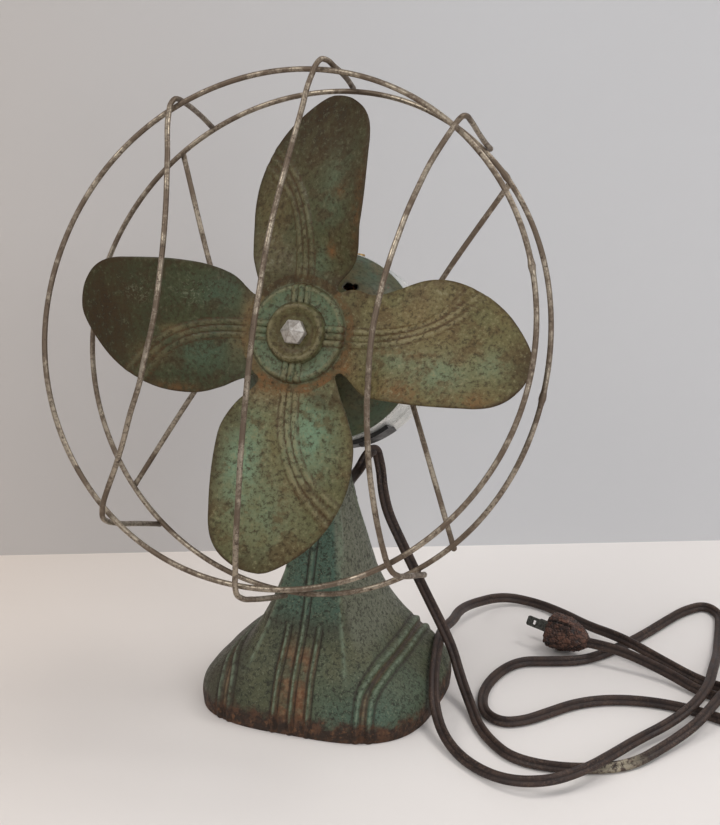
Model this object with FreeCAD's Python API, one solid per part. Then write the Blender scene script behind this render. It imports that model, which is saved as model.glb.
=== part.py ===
"""Desk fan with a wire guard, a tilting head and a flared pedestal.

Millimetres. +Z is up, the fan blows towards -Y, +X is to its right when it is
seen from the front. The origin is on the table under the middle of the base.

Pieces of the head are drawn in the shaft's own frame, with the shaft along Y
and y = 0 over the tilt pivot, and are then lifted and tilted into place.
"""
import FreeCAD, Part
import math
import os

Vec = FreeCAD.Vector
X_AXIS, Y_AXIS, Z_AXIS = Vec(1, 0, 0), Vec(0, 1, 0), Vec(0, 0, 1)
ORIGIN = Vec(0, 0, 0)

# ---------------------------------------------------------------- clearances
RUNNING_FIT = 0.04      # radial, a turning shaft in its bearing
SNUG_FIT = 0.02         # radial, pieces pressed or bolted together
SEAT_GAP = 0.05         # wires and pads that lie on something
LOOSE_FIT = 0.3         # coils, felts and pads in their places

# ---------------------------------------------------------------- pedestal
# height, half width, half depth and squareness of each section of the shell
BASE_SECTIONS = [
    (0, 68.7, 64.9, 3.2),
    (8, 68.9, 63.6, 3.4),
    (16, 66.3, 61.4, 3.6),
    (24, 58.6, 58.9, 3.8),
    (32, 48.4, 55.8, 3.9),
    (40, 40.6, 51.0, 3.9),
    (50, 34.4, 44.6, 3.7),
    (62, 28.4, 38.4, 3.6),
    (80, 21.4, 31.8, 3.6),
    (100, 15.9, 25.0, 3.8),
    (118, 12.0, 18.6, 4.0),
    (134, 9.6, 13.6, 4.0),
]
SECTION_POINTS = 32     # points round each section
BASE_WALL = 3.0
RIB_HEIGHT = 1.2        # raised ribs on the front and over the shoulders
RIB_WIDTH = 3.4
FRONT_RIBS = [(-10.3, 60), (0, 134), (10.3, 60)]    # place across and height of the top end
# plan of the two ribs that run up the front and back along each shoulder, front half
SHOULDER_RIBS = [
    [(40.2, -70), (38.6, -55), (40.8, -45), (43.2, -22), (43.6, 0)],
    [(47.0, -70), (45.6, -52), (47.2, -40), (48.3, -20), (48.6, 0)],
]
PAD_THICK = 1.5
PLATE_THICK = 1.5
BOSS_RADIUS = 4.5       # screw bosses in the base
BOSS_HEIGHT = 26.0
BOSS_X, BOSS_Y = 50.0, 44.0
BASE_SCREW_R = 1.75
BASE_SCREW_LENGTH = 10.0
SCREW_HOLE_DEPTH = 12.0

# ---------------------------------------------------------------- tilt joint
PIVOT_Z = 144.0
REST_TILT = 21.5        # nose up, degrees
AXIS_OVER_PIVOT = 63.0  # shaft axis above the tilt bolt
TONGUE_THICK = 8.0
TONGUE_RADIUS = 6.5
TONGUE_DEPTH = 12.0     # of its stem, along Y
TONGUE_SOCKET = 16.0    # of its stem inside the neck
CHEEK_THICK = 2.5
CHEEK_RADIUS = 7.5
TILT_BOLT_R = 2.5
TILT_BOLT_END = 17.5    # how far the bolt reaches to the left
BOLT_HEAD_R = 5.0
BOLT_HEAD_THICK = 3.5
WASHER_R = 6.0
WASHER_THICK = 1.0
THUMB_NUT_R = 6.8
THUMB_NUT_LENGTH = 7.0
THUMB_NUT_GRIPS = 14
TONGUE_PIN_R = 1.5

# ---------------------------------------------------------------- motor
MOTOR_R = 53.5
SHEET = 1.2             # steel of the covers and the band
HUB_Y = -84.0           # hub nut, ahead of the pivot
COVER_NOSE_Y = -62.0    # front of the front cover's bearing boss
BAND_FRONT_Y = -27.0    # seam of the front cover and the band
BAND_REAR_Y = -4.0      # seam of the band and the rear cover
MOTOR_REAR_Y = 16.0
# front cover: distance behind the nose and radius of its dome
DOME = [(0.0, 11.0), (1.4, 15.0), (6.6, 26.0), (12.6, 35.5), (19.6, 43.6), (27.6, 50.2)]
REAR_CORNER = 5.0       # rounding of the rear cover
VENT_R = 4.0
VENT_CIRCLE_R = 36.5
VENT_ANGLE = 40.0
THROUGH_BOLT_CIRCLE_R = 45.5
THROUGH_BOLT_R = 1.75
THROUGH_BOLT_HEAD_R = 3.0
THROUGH_BOLT_HEAD = 2.2
LUG_R = 4.0
BOSS_OUTER_R = 10.0
BEARING_R = 7.0
BEARING_LENGTH = 12.0
SHAFT_R = 4.0
SHAFT_TIP_R = 3.0
FELT_R = 9.4
FELT_THICK = 3.0
CAP_THICK = 0.8
STACK_FRONT_Y = -26.0
STACK_LENGTH = 21.0
YOKE_INNER_R = 42.0
POLE_WIDTH = 16.0
POLE_HALF_ANGLE = 36.0
POLE_TIP_THICK = 4.4
AIR_GAP = 0.4
ROTOR_R = 22.0
# shading rings' inner leg: its two radii and its two angles (clockwise from a pole's middle)
SHADE_R0 = ROTOR_R + AIR_GAP + 1.0
SHADE_R1 = ROTOR_R + AIR_GAP + 3.0
SHADE_A0 = 19.0
SHADE_A1 = 23.0
CAGE_RING = 4.0
CAGE_BARS = 16
CAGE_BAR_R = 1.5
CAGE_CIRCLE_R = 19.0
COIL_BUILD = 6.0        # thickness of a coil's winding
OIL_HOLE_R = 1.6
LEAD_HOLE_R = 3.4
LEAD_ANGLE = 206.0      # clockwise from up

# ---------------------------------------------------------------- cradle
CRADLE_THICK = 2.5
CRADLE_WIDTH = 16.0
CRADLE_CENTRE_Y = -6.0
CRADLE_HALF_ANGLE = 42.0
CRADLE_SCREW_ANGLE = 24.0
CRADLE_SCREW_Y = -9.0
CRADLE_SCREW_R = 2.0

# ---------------------------------------------------------------- blades
BLADE_SHEET = 1.0
BLADE_ROOT_Y = HUB_Y + 4.5
BLADE_PITCH = 0.33      # rise to the rear for each mm across the blade
BLADE_RAKE = 0.06       # rise to the rear for each mm outwards
BLADE_COUNT = 4
BLADE_TIP_R = 129.0
# outline of one blade: distance out along the blade and across it, from the
# root of the straight edge, round the tip, to the root of the bulged edge
BLADE_EDGE = [
    (38, -26.0), (44, -29.6), (52, -31.4), (66, -32.4), (88, -32.0), (107, -30.8),
    (118, -27.0), (125, -20.0), (128.6, -11.0), (BLADE_TIP_R, -4.0), (126.4, 4.0), (119, 14.0),
    (107, 24.5), (95, 31.0), (80, 35.8), (66, 36.8), (54, 35.8), (44, 32.6), (37, 28.4),
]
ROOT_FILLET_R = 6.7     # round notch between two blades
ROOT_FILLET_CENTRE_R = 42.9
TWIST_START_R, TWIST_END_R = 30.0, 60.0
# stepped hub of the blades: distance ahead of the root plane and radius
HUB_STEPS = [(4.5, 0.0), (4.5, 13.5), (5.6, 15.5), (5.6, 17.0), (4.6, 18.2), (2.2, 19.4),
             (2.2, 25.4), (1.2, 27.0), (0.0, 28.0), (0.0, 36.0)]
HUB_BUSH_R = 9.0
HUB_BUSH_LENGTH = 13.0
HUB_WASHER_R = 9.4
HUB_WASHER_THICK = 0.8
NUT_R = 7.4             # across corners, halved
NUT_LENGTH = 5.5

# ---------------------------------------------------------------- guard
RING_R = 136.0
WIRE_R = 1.5
RING_FRONT_Y = HUB_Y - 20.0
RING_REAR_Y = HUB_Y + 34.5
GUARD_ELBOW_Y = HUB_Y - 24.0
GUARD_TAIL_Y = HUB_Y + 41.0
GUARD_SIDE_X = 80.5
GUARD_BOW_FORWARD = 25.5
GUARD_BOW_INWARD = 21.0
GUARD_BOW_POINTS = 9
ELBOW_R = 6.0
STRUT_RING_ANGLE = 45.0
STRUT_EYE_R = 46.0
STRUT_EYE_Y = HUB_Y + 37.8
STRUT_EYE_THICK = 2.4
STRUT_BOSS_R = 3.2
STRUT_SCREW_R = 1.75
STRUT_SCREW_HEAD_R = 4.2

# ---------------------------------------------------------------- mains cord
CORD_R = 3.0
FLOOR_Z = CORD_R + 0.1  # middle of the cord where it lies on the table
OVER_Z = 9.9            # middle of the cord where it passes over itself
BUSHING_R = 5.0
BUSHING_LENGTH = 7.0
CORD_EXIT = (2.0, 31.0, 94.0)
CORD_ROUTE = [
    CORD_EXIT,
    (2.0, 38.5, 94.0), (1.4, 45.4, 98.4), (0.5, 47.0, 106.0), (0.4, 42.0, 112.5),
    (2.0, 33.0, 118.2), (5.6, 23.5, 124.4), (10.3, 15.5, 131.4), (15.9, 9.0, 138.6),
    (18.7, 10.1, 144.9), (20.4, 16.2, 147.5), (21.2, 22.3, 145.4), (21.6, 25.0, 139.2),
    (23.6, 24.0, 132.4), (24.9, 22.6, 122.0), (28.6, 22.0, 107.8), (36.0, 23.0, 91.8),
    (44.2, 25.0, 74.1), (51.6, 29.0, 55.6), (60.2, 30.0, 39.0), (69.0, 26.0, 25.4),
    (77.5, 16.0, 11.5), (89.5, -8.0, 3.8), (97, -25, FLOOR_Z), (109, -40, FLOOR_Z),
    (126, -54, FLOOR_Z), (148, -57, FLOOR_Z), (170, -52, FLOOR_Z), (190, -37, FLOOR_Z),
    (206, -12, 4.4), (216, 14, 8.0), (222, 38, OVER_Z), (229, 66, OVER_Z),
    (232, 84, OVER_Z), (240, 107, 6.0), (260, 120, FLOOR_Z), (283, 111, FLOOR_Z),
    (287, 87, FLOOR_Z), (265, 73, FLOOR_Z), (238, 72, FLOOR_Z), (211, 80, FLOOR_Z),
    (186, 97, 6.6), (168, 109, OVER_Z), (152, 121, OVER_Z), (130, 138, 6.0),
    (110, 156, 4.0), (88, 165, FLOOR_Z), (66, 157, 5.4), (52, 130, 10.6),
    (51, 98, 17.6), (53.4, 71, 22.6), (56.2, 48, 26.4), (61.4, 20, 28.8),
    (70, -12, 22), (75.5, -29, 9.6), (90, -48, 4.2), (108, -65, FLOOR_Z), (130, -74.5, 5.0),
    (150, -70, 9.2), (166, -57, OVER_Z), (178, -37, 8.8), (189, -12, 5.0),
    (199, 14, 7.0), (207, 38, OVER_Z), (213, 62, OVER_Z), (216, 86, OVER_Z),
    (215, 112, 6.0), (212, 140, FLOOR_Z), (209, 167, FLOOR_Z), (206.5, 184, FLOOR_Z),
    (195, 194, FLOOR_Z), (181, 190, FLOOR_Z), (174, 175, FLOOR_Z), (170, 154, FLOOR_Z),
    (164, 128, FLOOR_Z), (153, 101, FLOOR_Z), (138, 82, FLOOR_Z), (118, 73, FLOOR_Z),
    (102, 61, FLOOR_Z), (96, 40, FLOOR_Z), (95.5, 18, FLOOR_Z), (99.5, 1, FLOOR_Z),
    (110, -11, FLOOR_Z), (124, -10, FLOOR_Z), (134, 2, FLOOR_Z), (147, 20, FLOOR_Z),
    (165, 33, FLOOR_Z), (188, 40, FLOOR_Z), (213, 40, FLOOR_Z), (238, 31, FLOOR_Z),
    (262, 19, FLOOR_Z), (287, 19, FLOOR_Z), (305, 39, FLOOR_Z), (292, 62, FLOOR_Z),
    (264, 65, FLOOR_Z), (238, 59, FLOOR_Z), (214, 63, FLOOR_Z), (190, 77, 5.4),
    (168, 88, 9.6), (150, 96, 12.1), (137, 102.5, 12.1),
]
LOOSE_CORNER = 0.45     # share of the shorter run that a corner's arc takes up
PLUG_LENGTH = 27.0
PLUG_R = 12.0
PLUG_TAIL_R = 7.5
PRONG_WIDTH = 6.35
PRONG_THICK = 1.5
PRONG_PITCH = 12.7
PRONG_LENGTH = 16.0
PRONG_HOLE_R = 1.5


# ================================================================ helpers
def cylinder(radius, start, end, axis=Y_AXIS, centre=ORIGIN):
    """Solid cylinder along axis from start to end, measured from centre."""
    return Part.makeCylinder(radius, end - start, centre + axis * start, axis)


def tube(outer, inner, start, end, axis=Y_AXIS, centre=ORIGIN):
    return cylinder(outer, start, end, axis, centre).cut(cylinder(inner, start - 1, end + 1, axis, centre))


def box(x0, x1, y0, y1, z0, z1):
    return Part.makeBox(x1 - x0, y1 - y0, z1 - z0, Vec(x0, y0, z0))


def turned(profile):
    """Solid turned about the shaft (Y) from (y, radius) corners."""
    points = [Vec(0, y, r) for y, r in profile]
    face = Part.Face(Part.makePolygon(points + [points[0]]))
    return face.revolve(ORIGIN, Y_AXIS, 360)


def fused(shapes):
    whole = shapes[0]
    for shape in shapes[1:]:
        whole = whole.fuse(shape)
    return whole.removeSplitter()


def group(shapes):
    return Part.makeCompound(shapes)


def spun(shape, angle, axis=Y_AXIS, centre=ORIGIN):
    """Copy of a shape turned about an axis."""
    turned_copy = shape.copy()
    turned_copy.rotate(centre, axis, angle)
    return turned_copy


def ring_of(shape, count, start=0.0):
    return [spun(shape, start + 360.0 * i / count) for i in range(count)]


def polar(radius, degrees):
    """Point of the XZ plane, with the angle counted clockwise from up as seen from the front."""
    angle = math.radians(degrees)
    return Vec(radius * math.sin(angle), 0, radius * math.cos(angle))


def rounded_path(points):
    """Straight runs joined by tangent arcs, and the arcs' radii.

    Each arc takes up LOOSE_CORNER of the shorter run beside it.
    """
    corners = [Vec(*p) for p in points]
    edges, radii = [], []
    last = corners[0]
    for before, corner, after in zip(corners, corners[1:], corners[2:]):
        back, ahead = before - corner, after - corner
        reach = LOOSE_CORNER * min(back.Length, ahead.Length)
        back.normalize()
        ahead.normalize()
        half_turn = (math.pi - back.getAngle(ahead)) / 2
        radius = reach / math.tan(half_turn)
        start, end = corner + back * reach, corner + ahead * reach
        inward = back + ahead
        inward.normalize()
        middle = corner + inward * (radius / math.cos(half_turn) - radius)
        edges.append(Part.LineSegment(last, start).toShape())
        edges.append(Part.Arc(start, middle, end).toShape())
        radii.append(radius)
        last = end
    edges.append(Part.LineSegment(last, corners[-1]).toShape())
    return Part.Wire(edges), radii


def wire_along(path, radius):
    """Round wire or cord along a path."""
    first = path.Edges[0]
    start = first.valueAt(first.FirstParameter)
    along = first.tangentAt(first.FirstParameter)
    profile = Part.Wire([Part.makeCircle(radius, start, along)])
    return path.makePipeShell([profile], True, False)


def on_shaft(shape):
    """Lift a piece from the shaft's frame to the rest pose of the head."""
    placed = shape.copy()
    placed.translate(Vec(0, 0, AXIS_OVER_PIVOT))
    return on_pivot(placed)


def on_pivot(shape):
    """Tilt a piece drawn about the pivot and lift it to the pivot's place."""
    placed = shape.copy()
    placed.rotate(ORIGIN, X_AXIS, -REST_TILT)
    placed.translate(Vec(0, 0, PIVOT_Z))
    return placed


# ================================================================ pedestal
def section_wire(half_width, half_depth, squareness, z):
    """Closed curve |x/a|^n + |y/b|^n = 1."""
    points = []
    for i in range(SECTION_POINTS):
        angle = 2 * math.pi * (i + 0.5) / SECTION_POINTS
        c, s = math.cos(angle), math.sin(angle)
        x = half_width * math.copysign(abs(c) ** (2 / squareness), c)
        y = half_depth * math.copysign(abs(s) ** (2 / squareness), s)
        points.append(Vec(x, y, z))
    curve = Part.BSplineCurve()
    curve.interpolate(Points=points, PeriodicFlag=True)
    return Part.Wire([curve.toShape()])


def base_block(inset=0.0, top_drop=0.0):
    """Solid through the pedestal's sections, drawn in by inset all round."""
    wires = [section_wire(a - inset, b - inset, n, z - (top_drop if z == BASE_SECTIONS[-1][0] else 0))
             for z, a, b, n in BASE_SECTIONS]
    return Part.makeLoft(wires, True, False)


def plan_strip(points, width):
    """Upright prism along a line in plan."""
    sides = []
    for side in (1, -1):
        row = [Vec(x + side * width / 2, y, 0) for x, y in points]
        sides.append(row)
    corners = sides[0] + sides[1][::-1]
    return Part.Face(Part.makePolygon(corners + [corners[0]])).extrude(Z_AXIS * BASE_SECTIONS[-1][0])


def base_ribs():
    half = RIB_WIDTH / 2
    strips = [box(x - half, x + half, -80, 0, 0, top) for x, top in FRONT_RIBS]
    for front_half in SHOULDER_RIBS:
        back_half = [(x, -y) for x, y in reversed(front_half[:-1])]
        right = front_half + back_half
        strips.append(plan_strip(right, RIB_WIDTH))
        strips.append(plan_strip([(-x, y) for x, y in right], RIB_WIDTH))
    raised = base_block(-RIB_HEIGHT)
    return [raised.common(strip) for strip in strips]


def base_shell():
    outer = base_block()
    for rib in base_ribs():
        outer = outer.fuse(rib)
    hollow = base_block(BASE_WALL, BASE_WALL)
    bosses = [cylinder(BOSS_RADIUS, PAD_THICK + PLATE_THICK, BOSS_HEIGHT, Z_AXIS, Vec(x, y, 0))
              for x in (-BOSS_X, BOSS_X) for y in (-BOSS_Y, BOSS_Y)]
    shell = outer.cut(hollow)
    for boss in bosses:
        shell = shell.fuse(boss.common(outer))
    for x in (-BOSS_X, BOSS_X):
        for y in (-BOSS_Y, BOSS_Y):
            shell = shell.cut(cylinder(BASE_SCREW_R, 0, SCREW_HOLE_DEPTH, Z_AXIS, Vec(x, y, 0)))
    neck_top = BASE_SECTIONS[-1][0]
    shell = shell.cut(box(-TONGUE_THICK / 2 - SNUG_FIT, TONGUE_THICK / 2 + SNUG_FIT,
                          -TONGUE_DEPTH / 2 - SNUG_FIT, TONGUE_DEPTH / 2 + SNUG_FIT,
                          neck_top - TONGUE_SOCKET, neck_top + 1))
    pin_z = neck_top - TONGUE_SOCKET / 2
    shell = shell.cut(cylinder(TONGUE_PIN_R, -30, 30, Y_AXIS, Vec(0, 0, pin_z)))
    x, y, z = CORD_EXIT
    return shell.cut(cylinder(BUSHING_R, -BUSHING_LENGTH - 4, 20, Y_AXIS, Vec(x, y, z)))


def bottom_plate():
    a, b, n = BASE_SECTIONS[0][1:]
    inset = BASE_WALL + 2 * LOOSE_FIT
    face = Part.Face(section_wire(a - inset, b - inset, n, PAD_THICK))
    plate = face.extrude(Z_AXIS * PLATE_THICK)
    for x in (-BOSS_X, BOSS_X):
        for y in (-BOSS_Y, BOSS_Y):
            plate = plate.cut(cylinder(BASE_SCREW_R + SNUG_FIT, 0, 10, Z_AXIS, Vec(x, y, 0)))
    return plate


def base_pad():
    a, b, n = BASE_SECTIONS[0][1:]
    inset = BASE_WALL + 2 * LOOSE_FIT
    pad = Part.Face(section_wire(a - inset, b - inset, n, 0)).extrude(Z_AXIS * PAD_THICK)
    for x in (-BOSS_X, BOSS_X):
        for y in (-BOSS_Y, BOSS_Y):
            pad = pad.cut(cylinder(2 * BASE_SCREW_R + LOOSE_FIT, -1, 10, Z_AXIS, Vec(x, y, 0)))
    return pad


def base_screws():
    screws = []
    for x in (-BOSS_X, BOSS_X):
        for y in (-BOSS_Y, BOSS_Y):
            foot = Vec(x, y, 0)
            head = cylinder(2 * BASE_SCREW_R, LOOSE_FIT, PAD_THICK, Z_AXIS, foot)
            head = head.cut(box(x - 0.4, x + 0.4, y - 5, y + 5, 0, 0.8))
            shank = cylinder(BASE_SCREW_R - SNUG_FIT, PAD_THICK, BASE_SCREW_LENGTH, Z_AXIS, foot)
            screws.append(head.fuse(shank))
    return group(screws)


# ================================================================ tilt joint
def tilt_tongue():
    """Eye plate that stands in the neck's top and carries the tilt bolt."""
    neck_top = BASE_SECTIONS[-1][0]
    half = TONGUE_THICK / 2
    stem = box(-half, half, -TONGUE_DEPTH / 2, TONGUE_DEPTH / 2, neck_top - TONGUE_SOCKET, PIVOT_Z)
    eye = cylinder(TONGUE_RADIUS, -half, half, X_AXIS, Vec(0, 0, PIVOT_Z))
    tongue = stem.fuse(eye)
    tongue = tongue.cut(cylinder(TILT_BOLT_R + RUNNING_FIT, -half - 1, half + 1, X_AXIS, Vec(0, 0, PIVOT_Z)))
    pin_z = neck_top - TONGUE_SOCKET / 2
    return tongue.cut(cylinder(TONGUE_PIN_R, -30, 30, Y_AXIS, Vec(0, 0, pin_z)))


def tongue_pin():
    """Cross pin that holds the tongue in the neck."""
    neck_top, half_depth = BASE_SECTIONS[-1][0], BASE_SECTIONS[-1][2]
    reach = half_depth + 1
    return cylinder(TONGUE_PIN_R - SNUG_FIT, -reach, reach, Y_AXIS, Vec(0, 0, neck_top - TONGUE_SOCKET / 2))


def cheek_outer_x():
    return TONGUE_THICK / 2 + SEAT_GAP + CHEEK_THICK


def cradle():
    """Strap under the motor with two cheeks that hang over the tongue."""
    y0, y1 = CRADLE_CENTRE_Y - CRADLE_WIDTH / 2, CRADLE_CENTRE_Y + CRADLE_WIDTH / 2
    inner = MOTOR_R + SEAT_GAP
    outer = inner + CRADLE_THICK
    axis_at = Vec(0, 0, AXIS_OVER_PIVOT)
    strap = tube(outer, inner, y0, y1, Y_AXIS, axis_at)
    half = math.radians(CRADLE_HALF_ANGLE)
    far = 2 * outer
    wedge = Part.Face(Part.makePolygon([axis_at + Vec(0, y0 - 1, 0),
                                        axis_at + Vec(far * math.sin(half), y0 - 1, -far * math.cos(half)),
                                        axis_at + Vec(-far * math.sin(half), y0 - 1, -far * math.cos(half)),
                                        axis_at + Vec(0, y0 - 1, 0)])).extrude(Y_AXIS * (CRADLE_WIDTH + 2))
    strap = strap.common(wedge)
    pieces = [strap]
    for side in (-1, 1):
        x0 = side * (TONGUE_THICK / 2 + SEAT_GAP)
        x1 = side * cheek_outer_x()
        low, high = min(x0, x1), max(x0, x1)
        eye = cylinder(CHEEK_RADIUS, low, high, X_AXIS)
        web = box(low, high, -CHEEK_RADIUS, CHEEK_RADIUS, 0, AXIS_OVER_PIVOT)
        cheek = eye.fuse(web).cut(cylinder(inner + CRADLE_THICK / 2, -90, 90, Y_AXIS, axis_at))
        pieces.append(cheek.cut(cylinder(TILT_BOLT_R + RUNNING_FIT, -20, 20, X_AXIS)))
    whole = fused(pieces)
    for side in (-1, 1):
        hole = cylinder(CRADLE_SCREW_R + SNUG_FIT, 0, far, Vec(0, 0, -1), axis_at)
        hole.translate(Vec(0, CRADLE_SCREW_Y, 0))
        whole = whole.cut(spun(hole, side * CRADLE_SCREW_ANGLE, Y_AXIS, axis_at))
    return on_pivot(whole)


def cradle_screws():
    screws = []
    for side in (-1, 1):
        seat = MOTOR_R + SEAT_GAP + CRADLE_THICK
        face = MOTOR_R - SHEET - 0.15
        centre = Vec(0, CRADLE_SCREW_Y, 0)
        down = Vec(0, 0, -1)
        shank = cylinder(CRADLE_SCREW_R, face - 1, seat + 1, down, centre)
        head = Part.makeCone(3.6, 2.4, 1.8, centre + down * (seat + SNUG_FIT), down)
        nut = cylinder(3.2, face - 2.8, face, down, centre)
        screws.append(spun(fused([shank, head, nut]), side * CRADLE_SCREW_ANGLE))
    return on_shaft(group(screws))


def tilt_bolt():
    right = cheek_outer_x() + WASHER_THICK + 2 * SEAT_GAP
    centre = Vec(0, 0, PIVOT_Z)
    head = cylinder(BOLT_HEAD_R, right, right + BOLT_HEAD_THICK, X_AXIS, centre)
    face = right + BOLT_HEAD_THICK
    slot = box(face - 1.2, face + 1, -6, 6, PIVOT_Z - 0.6, PIVOT_Z + 0.6)
    shank = cylinder(TILT_BOLT_R, -TILT_BOLT_END, right, X_AXIS, centre)
    return head.cut(slot).fuse(shank)


def tilt_washers():
    centre = Vec(0, 0, PIVOT_Z)
    near = cheek_outer_x() + SEAT_GAP
    return group([tube(WASHER_R, TILT_BOLT_R + RUNNING_FIT, side * near - (WASHER_THICK if side < 0 else 0),
                       side * near + (WASHER_THICK if side > 0 else 0), X_AXIS, centre) for side in (-1, 1)])


def thumb_nut():
    """Grooved round nut on the bolt's left end."""
    centre = Vec(0, 0, PIVOT_Z)
    right = -cheek_outer_x() - WASHER_THICK - 2 * SEAT_GAP
    collar = cylinder(THUMB_NUT_R - 1.6, right - 1.5, right, X_AXIS, centre)
    grip = cylinder(THUMB_NUT_R, right - THUMB_NUT_LENGTH, right - 1.5, X_AXIS, centre)
    nut = grip.fuse(collar).cut(cylinder(TILT_BOLT_R + SNUG_FIT, -40, 0, X_AXIS, centre))
    rim = centre + Z_AXIS * (THUMB_NUT_R + 0.3)
    groove = cylinder(0.9, right - THUMB_NUT_LENGTH - 1, right - 1.5, X_AXIS, rim)
    step = 360.0 / THUMB_NUT_GRIPS
    return nut.cut(group([spun(groove, step * i, X_AXIS, centre) for i in range(THUMB_NUT_GRIPS)]))


# ================================================================ motor
def dome_profile(inset):
    """Front cover's outline as (y, radius) corners, drawn in by the sheet's thickness."""
    points = [(COVER_NOSE_Y + behind + inset, radius) for behind, radius in DOME]
    rim = (BAND_FRONT_Y, MOTOR_R - inset)
    shoulder = (COVER_NOSE_Y + DOME[-1][0] + 5 + inset / 2, MOTOR_R - inset)
    return points + [shoulder, rim]


def front_cover():
    outer = turned([(COVER_NOSE_Y, 0)] + dome_profile(0) + [(BAND_FRONT_Y, 0)])
    hollow = turned([(COVER_NOSE_Y + SHEET, 0)] + dome_profile(SHEET) + [(BAND_FRONT_Y + 1, MOTOR_R - SHEET),
                                                                       (BAND_FRONT_Y + 1, 0)])
    boss = cylinder(BOSS_OUTER_R, COVER_NOSE_Y, COVER_NOSE_Y + SHEET + BEARING_LENGTH)
    lugs = [cylinder(LUG_R, COVER_NOSE_Y, BAND_FRONT_Y - SEAT_GAP, Y_AXIS, polar(THROUGH_BOLT_CIRCLE_R, a))
            for a in (45, 135, 225, 315)]
    cover = outer.cut(hollow).fuse(boss)
    for lug in lugs:
        cover = cover.fuse(lug.common(outer))
    for eye in strut_eyes():
        boss = cylinder(STRUT_BOSS_R, STRUT_EYE_THICK / 2 + SNUG_FIT, 14, Y_AXIS, eye)
        cover = cover.fuse(boss.cut(hollow))
    cover = cover.cut(cylinder(BEARING_R, COVER_NOSE_Y + SHEET, BAND_FRONT_Y))
    cover = cover.cut(cylinder(SHAFT_R + LOOSE_FIT, COVER_NOSE_Y - 1, BAND_FRONT_Y))
    for i in range(4):
        cover = cover.cut(cylinder(VENT_R, COVER_NOSE_Y - 1, BAND_FRONT_Y, Y_AXIS,
                                   polar(VENT_CIRCLE_R, VENT_ANGLE + 90 * i)))
        cover = cover.cut(cylinder(THROUGH_BOLT_R, BAND_FRONT_Y - 9, BAND_FRONT_Y, Y_AXIS,
                                   polar(THROUGH_BOLT_CIRCLE_R, 45 + 90 * i)))
    for eye in strut_eyes():
        cover = cover.cut(strut_screw_shank(eye, SNUG_FIT))
    return on_shaft(cover)


def motor_band():
    band = tube(MOTOR_R, MOTOR_R - SHEET, BAND_FRONT_Y, BAND_REAR_Y)
    for side in (-1, 1):
        hole = cylinder(CRADLE_SCREW_R + SNUG_FIT, 0, 2 * MOTOR_R, Vec(0, 0, -1), Vec(0, CRADLE_SCREW_Y, 0))
        band = band.cut(spun(hole, side * CRADLE_SCREW_ANGLE))
    return on_shaft(band)


def rear_profile(inset):
    """Rear cover's outline, with its corner cut in three flats."""
    out, back = MOTOR_R - inset, MOTOR_REAR_Y - inset
    c = REAR_CORNER
    return [(BAND_REAR_Y, out), (back - c, out), (back - 0.38 * c, out - 0.2 * c),
            (back - 0.1 * c, out - 0.5 * c), (back, out - c), (back, 0), (BAND_REAR_Y, 0)]


def rear_cover():
    outer = turned(rear_profile(0))
    mouth = BAND_REAR_Y - 1
    hollow = turned([(mouth, MOTOR_R - SHEET)] + rear_profile(SHEET)[1:-1] + [(mouth, 0)])
    cover = outer.cut(hollow)
    boss = tube(BOSS_OUTER_R, BEARING_R, MOTOR_REAR_Y - SHEET - BEARING_LENGTH, MOTOR_REAR_Y - SHEET)
    cover = cover.fuse(boss)
    for i in range(4):
        place = polar(THROUGH_BOLT_CIRCLE_R, 45 + 90 * i)
        cover = cover.cut(cylinder(THROUGH_BOLT_R + SNUG_FIT, 0, 40, Y_AXIS, place))
        for radius, half_span in ((24.0, 6.0), (33.0, 8.0)):
            slot = cylinder(1.6, 0, 40, Y_AXIS, Vec(-half_span, 0, radius))
            slot = slot.fuse(cylinder(1.6, 0, 40, Y_AXIS, Vec(half_span, 0, radius)))
            slot = slot.fuse(box(-half_span, half_span, 0, 40, radius - 1.6, radius + 1.6))
            cover = cover.cut(spun(slot, 90 * i))
    cover = cover.cut(cylinder(OIL_HOLE_R, 0, 60, Z_AXIS, Vec(0, MOTOR_REAR_Y - 9, MOTOR_R - 10)))
    cover = cover.cut(lead_cylinder(LEAD_HOLE_R, MOTOR_R - 12, MOTOR_R + 12))
    return on_shaft(cover)


def lead_cylinder(radius, start, end):
    """Along the leads' way out, low on the left of the rear cover."""
    out = polar(1, LEAD_ANGLE)
    return cylinder(radius, start, end, out, Vec(0, MOTOR_REAR_Y - 9, 0))


def lead_grommet():
    sleeve = lead_cylinder(LEAD_HOLE_R - SNUG_FIT, MOTOR_R - 3, MOTOR_R + 1)
    collar = lead_cylinder(LEAD_HOLE_R + 1.4, MOTOR_R + 0.1, MOTOR_R + 1.6)
    return on_shaft(sleeve.fuse(collar).cut(lead_cylinder(LEAD_HOLE_R - 1.4, MOTOR_R - 9, MOTOR_R + 9)))


def oil_cup():
    foot = Vec(0, MOTOR_REAR_Y - 9, 0)
    body = cylinder(OIL_HOLE_R - SNUG_FIT, MOTOR_R - 6, MOTOR_R + 1, Z_AXIS, foot)
    cup = cylinder(2.8, MOTOR_R + 0.1, MOTOR_R + 5, Z_AXIS, foot)
    return on_shaft(body.fuse(cup))


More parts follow.
